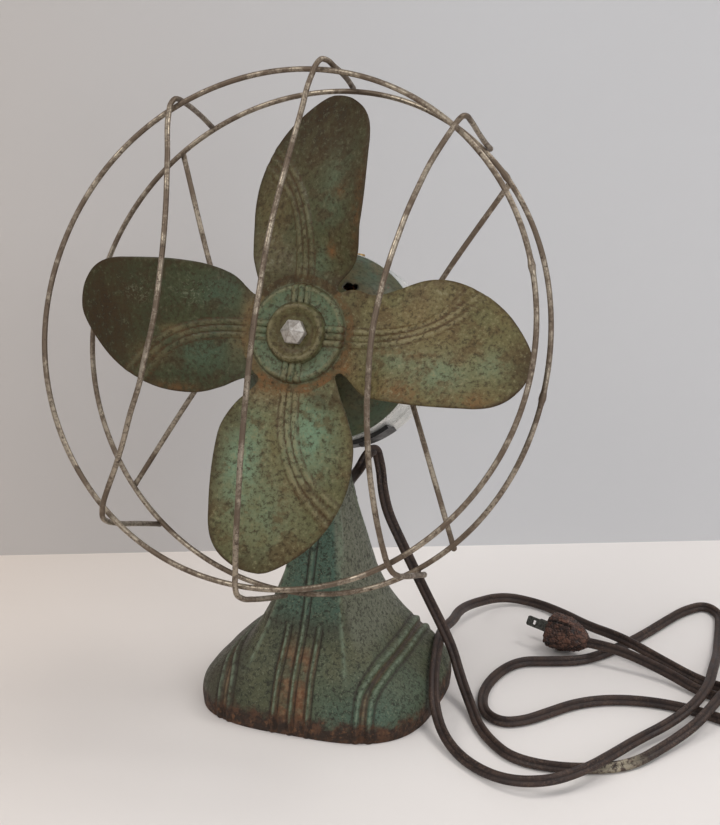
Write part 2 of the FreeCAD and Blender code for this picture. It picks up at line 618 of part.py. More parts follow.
def through_bolts():
    bolts = []
    for i in range(4):
        place = polar(THROUGH_BOLT_CIRCLE_R, 45 + 90 * i)
        shank = cylinder(THROUGH_BOLT_R - SNUG_FIT, BAND_FRONT_Y - 8, MOTOR_REAR_Y, Y_AXIS, place)
        y = MOTOR_REAR_Y
        head = cylinder(THROUGH_BOLT_HEAD_R, y, y + THROUGH_BOLT_HEAD, Y_AXIS, place)
        slot = box(place.x - 0.5, place.x + 0.5, y + 1, y + 9, place.z - 5, place.z + 5)
        bolts.append(shank.fuse(head.cut(slot)))
    return on_shaft(group(bolts))


def sector(r0, r1, a0, a1, y0, y1):
    """Part of a tube between two radii and two angles (clockwise from up)."""
    far = 2 * r1
    steps = max(2, int((a1 - a0) / 30) + 1)
    rays = [polar(far, a0 + (a1 - a0) * i / steps) + Y_AXIS * y0 for i in range(steps + 1)]
    middle = Y_AXIS * y0
    wedge = Part.Face(Part.makePolygon([middle] + rays + [middle])).extrude(Y_AXIS * (y1 - y0))
    return tube(r1, r0, y0, y1).common(wedge)


def stator_core():
    y0, y1 = STACK_FRONT_Y, STACK_FRONT_Y + STACK_LENGTH
    bore = ROTOR_R + AIR_GAP
    core = tube(MOTOR_R - SHEET - SEAT_GAP, YOKE_INNER_R, y0, y1)
    for i in range(4):
        neck = box(-POLE_WIDTH / 2, POLE_WIDTH / 2, y0, y1, bore + 1, YOKE_INNER_R + 1)
        tip = sector(bore, bore + POLE_TIP_THICK, -POLE_HALF_ANGLE, POLE_HALF_ANGLE, y0, y1)
        pole = neck.fuse(tip).cut(cylinder(bore, y0 - 1, y1 + 1))
        core = core.fuse(spun(pole, 90 * i))
    for i in range(4):
        place = polar(THROUGH_BOLT_CIRCLE_R, 45 + 90 * i)
        core = core.cut(cylinder(THROUGH_BOLT_R + 0.2, y0 - 1, y1 + 1, Y_AXIS, place))
        core = core.cut(spun(shading_slot(), 90 * i))
    for side in (-1, 1):
        pocket = cylinder(3.6, MOTOR_R - SHEET - 3.6, MOTOR_R, Vec(0, 0, -1), Vec(0, CRADLE_SCREW_Y, 0))
        core = core.cut(spun(pocket, side * CRADLE_SCREW_ANGLE))
    return on_shaft(core.removeSplitter())


def shading_slot():
    y0, y1 = STACK_FRONT_Y - 1, STACK_FRONT_Y + STACK_LENGTH + 1
    return sector(ROTOR_R - 1, SHADE_R1 + 0.3, SHADE_A0 - 1, SHADE_A1 + 1, y0, y1)


def shading_rings():
    """Copper loops round one side of each pole tip."""
    y0, y1 = STACK_FRONT_Y, STACK_FRONT_Y + STACK_LENGTH
    over = 1.6
    gap_start = POLE_HALF_ANGLE + 1.0
    inner_leg = sector(SHADE_R0, SHADE_R1, SHADE_A0, SHADE_A1, y0 - over, y1 + over)
    outer_leg = sector(SHADE_R0, SHADE_R1, gap_start, gap_start + 4, y0 - over, y1 + over)
    ends = [sector(SHADE_R0, SHADE_R1, SHADE_A0, gap_start + 4, y, y + over - SEAT_GAP)
            for y in (y0 - over, y1 + SEAT_GAP)]
    loop = fused([inner_leg, outer_leg] + ends)
    return on_shaft(group(ring_of(loop, 4)))


def stator_coils():
    """Four coils, one round each pole's neck."""
    y0, y1 = STACK_FRONT_Y, STACK_FRONT_Y + STACK_LENGTH
    inner_half = POLE_WIDTH / 2 + LOOSE_FIT
    outer_half = inner_half + COIL_BUILD
    inside = ROTOR_R + AIR_GAP + POLE_TIP_THICK + LOOSE_FIT
    outside = math.sqrt(YOKE_INNER_R ** 2 - outer_half ** 2) - LOOSE_FIT
    over = LOOSE_FIT + COIL_BUILD
    block = box(-outer_half, outer_half, y0 - over, y1 + over, inside, outside)
    block = block.makeFillet(COIL_BUILD / 2, [e for e in block.Edges if abs(e.tangentAt(0).z) > 0.9])
    coil = block.cut(box(-inner_half, inner_half, y0 - LOOSE_FIT, y1 + LOOSE_FIT, inside - 1, outside + 1))
    return on_shaft(group(ring_of(coil, 4)))


def rotor_core():
    y0, y1 = STACK_FRONT_Y, STACK_FRONT_Y + STACK_LENGTH
    core = tube(ROTOR_R, SHAFT_R + SNUG_FIT, y0, y1)
    bar = cylinder(CAGE_BAR_R + SNUG_FIT, y0 - 1, y1 + 1, Y_AXIS, polar(CAGE_CIRCLE_R, 0))
    return on_shaft(core.cut(group(ring_of(bar, CAGE_BARS))))


def rotor_cage():
    y0, y1 = STACK_FRONT_Y, STACK_FRONT_Y + STACK_LENGTH
    front = tube(ROTOR_R - 0.8, CAGE_CIRCLE_R - 5, y0 - CAGE_RING, y0 - SNUG_FIT)
    rear = tube(ROTOR_R - 0.8, CAGE_CIRCLE_R - 5, y1 + SNUG_FIT, y1 + CAGE_RING)
    bars = ring_of(cylinder(CAGE_BAR_R, y0 - 1, y1 + 1, Y_AXIS, polar(CAGE_CIRCLE_R, 0)), CAGE_BARS)
    return on_shaft(fused([front, rear] + bars))


def shaft_front_step_y():
    """Shoulder of the shaft, at the rear face of the blades."""
    return BLADE_ROOT_Y - HUB_STEPS[0][0] + BLADE_SHEET


def shaft():
    rear = MOTOR_REAR_Y - SHEET - 1.0
    body = cylinder(SHAFT_R, shaft_front_step_y(), rear)
    tip = cylinder(SHAFT_TIP_R, nut_front_y() + 2.0, shaft_front_step_y())
    return on_shaft(body.fuse(tip))


def bearing_starts():
    """Front ends of the front and the rear bearing."""
    return COVER_NOSE_Y + SHEET + LOOSE_FIT, MOTOR_REAR_Y - SHEET - BEARING_LENGTH + LOOSE_FIT


def bearing(start):
    sleeve = tube(BEARING_R - SNUG_FIT, SHAFT_R + RUNNING_FIT, start, start + BEARING_LENGTH - 2 * LOOSE_FIT)
    return on_shaft(sleeve)


def felt_and_cap(face, direction):
    """Oil felt on a boss's open face, and the pressed cap that holds it."""
    near, far = face + direction * 0.1, face + direction * (0.1 + FELT_THICK)
    felt = tube(FELT_R, SHAFT_R + LOOSE_FIT, min(near, far), max(near, far))
    lip = far + direction * CAP_THICK
    skirt_start = face - direction * 5.0
    bore = BOSS_OUTER_R + SNUG_FIT
    skirt = tube(bore + CAP_THICK, bore, min(skirt_start, lip), max(skirt_start, lip))
    disc = tube(bore + CAP_THICK, SHAFT_R + 1.0, min(far + direction * 0.05, lip),
                max(far + direction * 0.05, lip))
    return felt, skirt.fuse(disc)


def felt_faces():
    front = COVER_NOSE_Y + SHEET + BEARING_LENGTH
    rear = MOTOR_REAR_Y - SHEET - BEARING_LENGTH
    return felt_and_cap(front, 1), felt_and_cap(rear, -1)


def oil_felts():
    return on_shaft(group([pair[0] for pair in felt_faces()]))


def bearing_caps():
    return on_shaft(group([pair[1] for pair in felt_faces()]))


def shaft_spacers():
    """Tubes on the shaft that keep the rotor between the two caps."""
    front_cap = COVER_NOSE_Y + SHEET + BEARING_LENGTH + 0.1 + FELT_THICK + CAP_THICK
    rear_cap = MOTOR_REAR_Y - SHEET - BEARING_LENGTH - 0.1 - FELT_THICK - CAP_THICK
    outer, inner = SHAFT_R + 3.0, SHAFT_R + SNUG_FIT
    front = tube(outer, inner, front_cap + LOOSE_FIT, STACK_FRONT_Y - SNUG_FIT)
    stack_end = STACK_FRONT_Y + STACK_LENGTH
    pieces = [front]
    if rear_cap - LOOSE_FIT - stack_end > 0.4:
        pieces.append(tube(outer, inner, stack_end + SNUG_FIT, rear_cap - LOOSE_FIT))
    return on_shaft(group(pieces))


# ================================================================ blades
def blade_rise(out, across):
    """How far the blade lies behind its root plane, (out, across) from the shaft."""
    share = min(1.0, max(0.0, (out - TWIST_START_R) / (TWIST_END_R - TWIST_START_R)))
    ease = share * share * (3 - 2 * share)
    return ease * (BLADE_PITCH * across + BLADE_RAKE * (out - TWIST_START_R))


def blade_sheet():
    """Twisted sheet, wider than the blade, that the outline is cut from."""
    outs = [26 + (BLADE_TIP_R + 4 - 26) * i / 14.0 for i in range(15)]
    acrosses = [-42 + 88 * j / 8.0 for j in range(9)]
    grid = [[Vec(-across, BLADE_ROOT_Y + blade_rise(out, across), out) for across in acrosses]
            for out in outs]
    surface = Part.BSplineSurface()
    surface.interpolate(grid)
    return surface.toShape().extrude(Y_AXIS * BLADE_SHEET)


def blade_outline():
    """Prism of one blade's outline."""
    edge = Part.BSplineCurve()
    edge.interpolate([Vec(-across, HUB_Y - 30, out) for out, across in BLADE_EDGE])
    first, last = BLADE_EDGE[0], BLADE_EDGE[-1]
    corners = [Vec(-last[1], HUB_Y - 30, last[0]), Vec(-12, HUB_Y - 30, 30), Vec(12, HUB_Y - 30, 30),
               Vec(-first[1], HUB_Y - 30, first[0])]
    lines = [Part.LineSegment(a, b).toShape() for a, b in zip(corners, corners[1:])]
    return Part.Face(Part.Wire([edge.toShape()] + lines)).extrude(Y_AXIS * 90)


def fan_blades():
    blade = blade_sheet().common(blade_outline())
    front = [(BLADE_ROOT_Y - ahead, radius) for ahead, radius in HUB_STEPS]
    rear = [(y + BLADE_SHEET, radius) for y, radius in reversed(front)]
    spider = turned(front + rear)
    for i in range(BLADE_COUNT):
        spider = spider.fuse(spun(blade, 360.0 * i / BLADE_COUNT))
    for i in range(BLADE_COUNT):
        place = polar(ROOT_FILLET_CENTRE_R, 45 + 90 * i)
        notch = cylinder(ROOT_FILLET_R, HUB_Y - 20, HUB_Y + 40, Y_AXIS, place)
        spider = spider.cut(notch)
    return on_shaft(spider.cut(cylinder(SHAFT_TIP_R + SNUG_FIT, HUB_Y - 40, HUB_Y + 40)))


def hub_bush():
    start = shaft_front_step_y() + SNUG_FIT
    collar = turned([(start, SHAFT_R + SNUG_FIT), (start, HUB_BUSH_R), (start + 9, HUB_BUSH_R),
                     (start + HUB_BUSH_LENGTH, HUB_BUSH_R - 2.5),
                     (start + HUB_BUSH_LENGTH, SHAFT_R + SNUG_FIT)])
    return on_shaft(collar.cut(cylinder(1.6, 0, 20, X_AXIS, Vec(0, start + 5, 0))))


def set_screw():
    start = shaft_front_step_y() + SNUG_FIT
    middle = Vec(0, start + 5, 0)
    return on_shaft(cylinder(1.6 - SNUG_FIT, SHAFT_R + SNUG_FIT, HUB_BUSH_R - 0.4, X_AXIS, middle))


def blade_front_y():
    """Front face of the blades' hub."""
    return BLADE_ROOT_Y - HUB_STEPS[0][0]


def nut_front_y():
    return blade_front_y() - SNUG_FIT - HUB_WASHER_THICK - NUT_LENGTH - NUT_R * 0.62


def hub_washer():
    front = blade_front_y() - SNUG_FIT
    return on_shaft(tube(HUB_WASHER_R, SHAFT_TIP_R + SNUG_FIT, front - HUB_WASHER_THICK, front))


def hub_nut():
    """Domed hexagon nut."""
    rear = blade_front_y() - 2 * SNUG_FIT - HUB_WASHER_THICK
    corners = [polar(NUT_R, 30 + 60 * i) + Y_AXIS * (rear - NUT_LENGTH) for i in range(7)]
    hexagon = Part.Face(Part.makePolygon(corners)).extrude(Y_AXIS * NUT_LENGTH)
    dome_r = NUT_R * 0.86
    front = rear - NUT_LENGTH
    dome = turned([(front + 1, 0), (front + 1, dome_r), (front, dome_r),
                   (front - 0.30 * NUT_R, dome_r * 0.84), (front - 0.5 * NUT_R, dome_r * 0.55),
                   (front - 0.6 * NUT_R, 0)])
    bore = cylinder(SHAFT_TIP_R + SNUG_FIT, nut_front_y() + 1.7, rear + 1)
    return on_shaft(hexagon.fuse(dome).cut(bore))


# ================================================================ guard
def guard_ring(y):
    ring = Part.makeTorus(RING_R, WIRE_R, Y_AXIS * y, Y_AXIS)
    return on_shaft(ring)


def guard_wire(side):
    """U-shaped wire: a tail outside each ring and a bowed front between two elbows."""
    reach = RING_R + 2 * WIRE_R + SEAT_GAP
    x = side * GUARD_SIDE_X
    height = math.sqrt(reach ** 2 - x ** 2)
    bow = []
    for i in range(GUARD_BOW_POINTS):
        t = -1 + 2.0 * i / (GUARD_BOW_POINTS - 1)
        depth = 1 - t * t
        bow.append((x - side * GUARD_BOW_INWARD * depth, GUARD_ELBOW_Y - GUARD_BOW_FORWARD * depth,
                    -height * t))
    points = [(x, GUARD_TAIL_Y, height)] + bow + [(x, GUARD_TAIL_Y, -height)]
    path = bowed_path(points)
    return on_shaft(wire_along(path, WIRE_R))


def bowed_path(points):
    """Path of a guard wire, with tight elbows and a smooth bow between them."""
    corners = [Vec(*p) for p in points]
    edges = []
    last = corners[0]
    for index in range(1, len(corners) - 1):
        before, corner, after = corners[index - 1], corners[index], corners[index + 1]
        back, ahead = before - corner, after - corner
        shorter = min(back.Length, ahead.Length)
        back.normalize()
        ahead.normalize()
        half_turn = (math.pi - back.getAngle(ahead)) / 2
        elbow = index in (1, len(corners) - 2)
        radius = ELBOW_R if elbow else LOOSE_CORNER * shorter / math.tan(half_turn)
        reach = radius * math.tan(half_turn)
        inward = back + ahead
        inward.normalize()
        start, end = corner + back * reach, corner + ahead * reach
        middle = corner + inward * (radius / math.cos(half_turn) - radius)
        edges += [Part.LineSegment(last, start).toShape(), Part.Arc(start, middle, end).toShape()]
        last = end
    edges.append(Part.LineSegment(last, corners[-1]).toShape())
    return Part.Wire(edges)


def strut_eyes():
    """Places on the front cover where the two V struts are screwed down, left and right."""
    return [Vec(side * STRUT_EYE_R, STRUT_EYE_Y, 0) for side in (-1, 1)]


def strut_screw_shank(eye, clearance):
    return cylinder(STRUT_SCREW_R + clearance, -4, 8, Y_AXIS, eye)


def guard_strut(side):
    """V-shaped wire from the rear ring's top and bottom to an eye on the front cover."""
    eye = strut_eyes()[0 if side < 0 else 1]
    legs = []
    for up in (1, -1):
        angle = math.radians(STRUT_RING_ANGLE)
        foot = Vec(side * RING_R * math.sin(angle), RING_REAR_Y + 2 * WIRE_R + SEAT_GAP,
                   up * RING_R * math.cos(angle))
        along = eye - foot
        length = along.Length
        along.normalize()
        reach = length + 1.5 - STRUT_SCREW_HEAD_R + 0.8
        legs.append(Part.makeCylinder(WIRE_R, reach, foot - along * 1.5, along))
    half = STRUT_EYE_THICK / 2
    loop = tube(STRUT_SCREW_HEAD_R, STRUT_SCREW_R + SNUG_FIT, -half, half, Y_AXIS, eye)
    whole = fused([loop] + legs)
    return on_shaft(whole.cut(strut_screw_shank(eye, SNUG_FIT)))


def strut_screws():
    screws = []
    for eye in strut_eyes():
        half = STRUT_EYE_THICK / 2
        seat = eye - Y_AXIS * (half + SNUG_FIT)
        head = Part.makeCone(STRUT_SCREW_HEAD_R - 1.2, 2.0, 1.8, seat, Y_AXIS * -1)
        shank = cylinder(STRUT_SCREW_R, -half - 1, 7, Y_AXIS, eye)
        screws.append(head.fuse(shank))
    return on_shaft(group(screws))


# ================================================================ mains cord
def cord_bushing():
    x, y, z = CORD_EXIT
    centre = Vec(x, y, z)
    sleeve = cylinder(BUSHING_R - SNUG_FIT, -BUSHING_LENGTH + 1, 0, Y_AXIS, centre)
    return sleeve.cut(cylinder(CORD_R - 0.6, -BUSHING_LENGTH - 1, -2, Y_AXIS, centre))


def neck_lead():
    """Cord's end inside the neck, from the bushing towards the tongue's foot."""
    x, y, z = CORD_EXIT
    return cylinder(CORD_R - 0.7, -BUSHING_LENGTH - 6, -2.1, Y_AXIS, Vec(x, y, z))


def mains_cord():
    path, radii = rounded_path(CORD_ROUTE)
    cord = wire_along(path, CORD_R)
    expected = math.pi * CORD_R ** 2 * path.Length
    print("cord length %.0f, volume %.0f of %.0f" % (path.Length, cord.Volume, expected))
    print("cord radii", " ".join("%.0f" % r for r in radii))
    return cord


def plug_frame():
    """Middle of the plug's rear face and its direction along the table."""
    end, before = Vec(*CORD_ROUTE[-1]), Vec(*CORD_ROUTE[-2])
    along = end - before
    along.z = 0
    along.normalize()
    return end, along


def plug_body():
    rear, along = plug_frame()
    profile = [(0, 0), (0, PLUG_TAIL_R), (5, PLUG_TAIL_R + 2.4), (13, PLUG_R - 0.4), (20, PLUG_R),
               (PLUG_LENGTH - 1, PLUG_R - 0.4), (PLUG_LENGTH, PLUG_R - 1.4), (PLUG_LENGTH, 0)]
    body = turned(profile)
    body.rotate(ORIGIN, Z_AXIS, math.degrees(math.atan2(along.y, along.x)) - 90)
    body.translate(rear)
    for prong in prong_blades(SNUG_FIT):
        body = body.cut(prong)
    return body


def prong_blades(clearance):
    """Two flat blades on edge, side by side, sunk into the plug's face."""
    rear, along = plug_frame()
    blades = []
    for side in (-1, 1):
        centre = side * PRONG_PITCH / 2
        blade = box(centre - PRONG_THICK / 2 - clearance, centre + PRONG_THICK / 2 + clearance,
                    PLUG_LENGTH - 8, PLUG_LENGTH + PRONG_LENGTH,
                    -PRONG_WIDTH / 2 - clearance, PRONG_WIDTH / 2 + clearance)
        hole = cylinder(PRONG_HOLE_R, -20, 20, X_AXIS, Vec(0, PLUG_LENGTH + PRONG_LENGTH - 4.5, 0))
        blade = blade.cut(hole) if not clearance else blade
        blade.rotate(ORIGIN, Z_AXIS, math.degrees(math.atan2(along.y, along.x)) - 90)
        blade.translate(rear)
        blades.append(blade)
    return blades


def plug_prongs():
    return group(prong_blades(0.0))


# ================================================================ assembly
PIECES = {
    "base_shell": base_shell,
    "bottom_plate": bottom_plate,
    "base_pad": base_pad,
    "base_screws": base_screws,
    "tilt_tongue": tilt_tongue,
    "tongue_pin": tongue_pin,
    "tilt_bolt": tilt_bolt,
    "tilt_washers": tilt_washers,
    "thumb_nut": thumb_nut,
    "cradle": cradle,
    "cradle_screws": cradle_screws,
    "front_cover": front_cover,
    "motor_band": motor_band,
    "rear_cover": rear_cover,
    "through_bolts": through_bolts,
    "lead_grommet": lead_grommet,
    "oil_cup": oil_cup,
    "stator_core": stator_core,
    "stator_coils": stator_coils,
    "shading_rings": shading_rings,
    "front_bearing": lambda: bearing(bearing_starts()[0]),
    "rear_bearing": lambda: bearing(bearing_starts()[1]),
    "oil_felts": oil_felts,
    "bearing_caps": bearing_caps,
    "shaft": shaft,
    "rotor_core": rotor_core,
    "rotor_cage": rotor_cage,
    "shaft_spacers": shaft_spacers,
    "fan_blades": fan_blades,
    "hub_bush": hub_bush,
    "set_screw": set_screw,
    "hub_washer": hub_washer,
    "hub_nut": hub_nut,
    "guard_ring_front": lambda: guard_ring(RING_FRONT_Y),
    "guard_ring_rear": lambda: guard_ring(RING_REAR_Y),
    "guard_wire_left": lambda: guard_wire(-1),
    "guard_wire_centre": lambda: guard_wire(0),
    "guard_wire_right": lambda: guard_wire(1),
    "guard_strut_left": lambda: guard_strut(-1),
    "guard_strut_right": lambda: guard_strut(1),
    "strut_screws": strut_screws,
    "cord_bushing": cord_bushing,
    "neck_lead": neck_lead,
    "mains_cord": mains_cord,
    "plug_body": plug_body,
    "plug_prongs": plug_prongs,
}

os.makedirs("parts", exist_ok=True)
for name, make in PIECES.items():
    shape = make()
    print("%-18s solids %d volume %10.1f valid %s"
          % (name, len(shape.Solids), shape.Volume, shape.isValid()))
    shape.exportStep("parts/%s.step" % name)
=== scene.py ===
"""Dressing of the desk fan: painted casting, pressed blades, wire guard, motor and mains cord.

Lengths are millimetres, apart from the camera, the stage, the lamps and the bumps of the materials,
which are in metres. The head's pieces are worked out in the shaft's own frame, with the shaft along Y
and y = 0 over the tilt pivot, and then lifted and tilted.
"""
import math

import bpy
import mathutils
import numpy as np
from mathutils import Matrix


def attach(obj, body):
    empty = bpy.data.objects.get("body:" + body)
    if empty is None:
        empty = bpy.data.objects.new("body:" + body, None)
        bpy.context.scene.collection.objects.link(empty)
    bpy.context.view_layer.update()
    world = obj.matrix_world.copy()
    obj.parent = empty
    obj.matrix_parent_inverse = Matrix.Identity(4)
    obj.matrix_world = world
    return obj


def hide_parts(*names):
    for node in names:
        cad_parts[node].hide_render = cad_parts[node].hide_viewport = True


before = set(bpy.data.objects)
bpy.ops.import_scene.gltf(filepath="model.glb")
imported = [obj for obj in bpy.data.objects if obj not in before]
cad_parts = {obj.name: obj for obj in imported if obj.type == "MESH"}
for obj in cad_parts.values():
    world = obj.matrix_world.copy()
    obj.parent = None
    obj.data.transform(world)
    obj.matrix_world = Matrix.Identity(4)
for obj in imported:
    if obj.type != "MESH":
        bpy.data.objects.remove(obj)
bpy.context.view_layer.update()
scene = bpy.context.scene
scene.view_settings.view_transform = "Standard"

PIVOT_Z = 144.0
REST_TILT = math.radians(21.5)
AXIS_OVER_PIVOT = 63.0
HUB_Y = -84.0
MM = 0.001
# a wire's domed end, in radii: how far out its two rings lie, how wide they are, and its tip
DOME_OUT, DOME_WIDE, DOME_TIP = np.array([0.55, 0.85]), np.array([0.80, 0.45]), 0.12


# ================================================================ geometry helpers
def from_shaft(points):
    """Shaft frame to the rest pose: lifted to the axis, turned nose up about X, lifted to the pivot."""
    x, y, z = points[..., 0], points[..., 1], points[..., 2] + AXIS_OVER_PIVOT
    c, s = math.cos(REST_TILT), math.sin(REST_TILT)
    return np.stack([x, y * c + z * s, z * c - y * s + PIVOT_Z], axis=-1)


def unit(v):
    return v / np.maximum(np.linalg.norm(v, axis=-1, keepdims=True), 1e-12)


def ease(t):
    """Smooth step from 0 to 1."""
    t = np.clip(t, 0.0, 1.0)
    return t * t * (3 - 2 * t)


def hump(x, middle, width):
    """Bell curve: 1 at its middle, 0.37 one width away."""
    return np.exp(-((x - middle) / width)**2)


def full_turn(count):
    """Evenly spaced angles once round."""
    return np.linspace(0, 2 * np.pi, count, endpoint=False)


def half_turns(angle):
    """The same angle, between minus and plus half a turn."""
    return np.mod(angle + np.pi, 2 * np.pi) - np.pi


def cubic(places, values, wanted):
    """Smooth value at each wanted place, from values or points given at rising places."""
    slope = np.gradient(values, places, axis=0)
    i = np.clip(np.searchsorted(places, wanted, side="right") - 1, 0, len(places) - 2)
    h = places[i + 1] - places[i]
    u = (wanted - places[i]) / h
    if values.ndim > 1:
        h, u = h[:, None], u[:, None]
    return ((2 * u**3 - 3 * u**2 + 1) * values[i] + (u**3 - 2 * u**2 + u) * h * slope[i]
            + (3 * u**2 - 2 * u**3) * values[i + 1] + (u**3 - u**2) * h * slope[i + 1])


def run_along(line):
    """Length of a line up to each of its points."""
    return np.concatenate([[0], np.cumsum(np.linalg.norm(np.diff(line, axis=0), axis=1))])


def points_at(line, wanted):
    """Points of a line at the wanted lengths along it."""
    return np.stack([np.interp(wanted, run_along(line), column) for column in line.T], axis=1)


def smooth_line(knots, count):
    """Cubic through the knots by length of chord, sampled evenly along its own length."""
    k = np.asarray(knots, float)
    chord = run_along(k)
    fine = cubic(chord, k, np.linspace(0, chord[-1], 40 * len(k)))
    return points_at(fine, np.linspace(0, run_along(fine)[-1], count))


def quads(rows, columns, wrap_rows=False, wrap_columns=False, first=0, flip=False):
    """Four-sided faces of a grid of rows times columns points."""
    r = np.arange(rows if wrap_rows else rows - 1)[:, None]
    c = np.arange(columns if wrap_columns else columns - 1)[None, :]
    r2, c2 = (r + 1) % rows, (c + 1) % columns
    corners = [r * columns + c, r * columns + c2, r2 * columns + c2, r2 * columns + c]
    if flip:
        corners = corners[::-1]
    return np.stack(np.broadcast_arrays(*corners), axis=-1).reshape(-1, 4) + first


def fan_faces(ring, pole, flip=False):
    """Triangles from a closed ring of points to one pole."""
    nxt = np.roll(ring, -1)
    a = np.stack([ring, nxt, np.full(len(ring), pole)], axis=1)
    return a[:, ::-1] if flip else a


def capped_grid(rows, sides, flip=False):
    """Faces of a closed skin: rings of points, then a pole for the first ring and one for the last."""
    ring = np.arange(sides)
    return [quads(rows, sides, wrap_columns=True, flip=flip), fan_faces(ring, rows * sides, not flip),
            fan_faces(ring + (rows - 1) * sides, rows * sides + 1, flip)]


def placed(name, data):
    """Object with the given data, linked to the scene."""
    holder = bpy.data.objects.new(name, data)
    scene.collection.objects.link(holder)
    return holder


def surface(name, points, face_sets, body, nodes, material, sharp, marks=None):
    """Mesh piece from points in millimetres and lists of faces."""
    mesh = bpy.data.meshes.new(name)
    faces = [f for group in face_sets for f in np.asarray(group).tolist()]
    mesh.from_pydata((np.asarray(points).reshape(-1, 3) * MM).tolist(), [], faces)
    mesh.validate()
    for mark, values in (marks or {}).items():
        layer = mesh.attributes.new(mark, "FLOAT", "POINT")
        layer.data.foreach_set("value", np.asarray(values, np.float32).ravel())
    mesh.shade_smooth()
    mesh.set_sharp_from_angle(angle=math.radians(sharp))
    piece = placed(name, mesh)
    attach(piece, body)
    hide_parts(*nodes)
    mesh.materials.append(material)
    return piece


def closed_skin(name, grid, poles, body, nodes, material, sharp, marks, flip=False):
    """Piece from rings of points and two poles; each mark has a value for every point of the rings."""
    rows, sides = grid.shape[:2]
    points = np.concatenate([grid.reshape(-1, 3), np.array(poles, float)])
    marks = {key: np.append(values, [0, 0]) for key, values in marks.items()}
    return surface(name, points, capped_grid(rows, sides, flip), body, nodes, material, sharp, marks)


def swept(line, sides, across, radius, closed):
    """Round section carried along a line; across gives the section's first axis at each point."""
    tangent = unit(np.roll(line, -1, 0) - np.roll(line, 1, 0) if closed else np.gradient(line, axis=0))
    first = unit(across - (across * tangent).sum(-1, keepdims=True) * tangent)
    second = np.cross(tangent, first)
    a = full_turn(sides)[:, None]
    ring = first[:, None] * np.cos(a) + second[:, None] * np.sin(a)
    return line[:, None] + ring * radius.reshape(-1, 1, 1)


def capped_tube(name, lines, radius, body, nodes, material, sides, across, closed=False):
    """One piece from wires of one radius or of one radius at each point; open wires have domed ends."""
    all_points, faces, first = [], [], 0
    for line in lines:
        side = np.broadcast_to(np.asarray(across, float), line.shape)
        r = np.broadcast_to(np.asarray(radius, float), (len(line),))
        if closed:
            points = swept(line, sides, side, r, closed).reshape(-1, 3)
            faces.append(quads(len(line), sides, wrap_rows=True, wrap_columns=True, first=first))
        else:
            head, tail = unit(line[0] - line[1]), unit(line[-1] - line[-2])
            start = [line[0] + head * r[0] * out for out in DOME_OUT[::-1]]
            end = [line[-1] + tail * r[-1] * out for out in DOME_OUT]
            tips = [start[0] + head * r[0] * DOME_TIP, end[-1] + tail * r[-1] * DOME_TIP]
            side = np.concatenate([side[:1], side[:1], side, side[-1:], side[-1:]])
            r = np.concatenate([r[0] * DOME_WIDE[::-1], r, r[-1] * DOME_WIDE])
            line = np.concatenate([start, line, end])
            points = np.concatenate([swept(line, sides, side, r, closed).reshape(-1, 3), tips])
            faces += [group + first for group in capped_grid(len(line), sides)]
        all_points.append(points)
        first += len(points)
    return surface(name, np.concatenate(all_points), faces, body, nodes, material, 60)


def lathe(profile, sides):
    """Profile of (y, radius) turned about the shaft, as points of the shaft's frame."""
    p, a = np.asarray(profile, float), full_turn(sides)
    y, radius = p[:, :1], p[:, 1:]
    return np.stack([radius * np.sin(a), np.broadcast_to(y, (len(p), sides)), radius * np.cos(a)], axis=-1)


def lathe_piece(name, profile, body, nodes, material, sides):
    """Closed ring turned about the shaft, or a solid when the profile's two ends lie on the shaft."""
    p = np.asarray(profile, float)
    solid = p[0, 1] == 0
    rings = p[1:-1] if solid else p
    points = lathe(rings, sides).reshape(-1, 3)
    faces = [quads(len(rings), sides, wrap_rows=True, wrap_columns=True)]
    if solid:
        points = np.concatenate([points, [[0, p[0, 0], 0], [0, p[-1, 0], 0]]])
        faces = capped_grid(len(rings), sides)
    return surface(name, from_shaft(points), faces, body, nodes, material, 35)


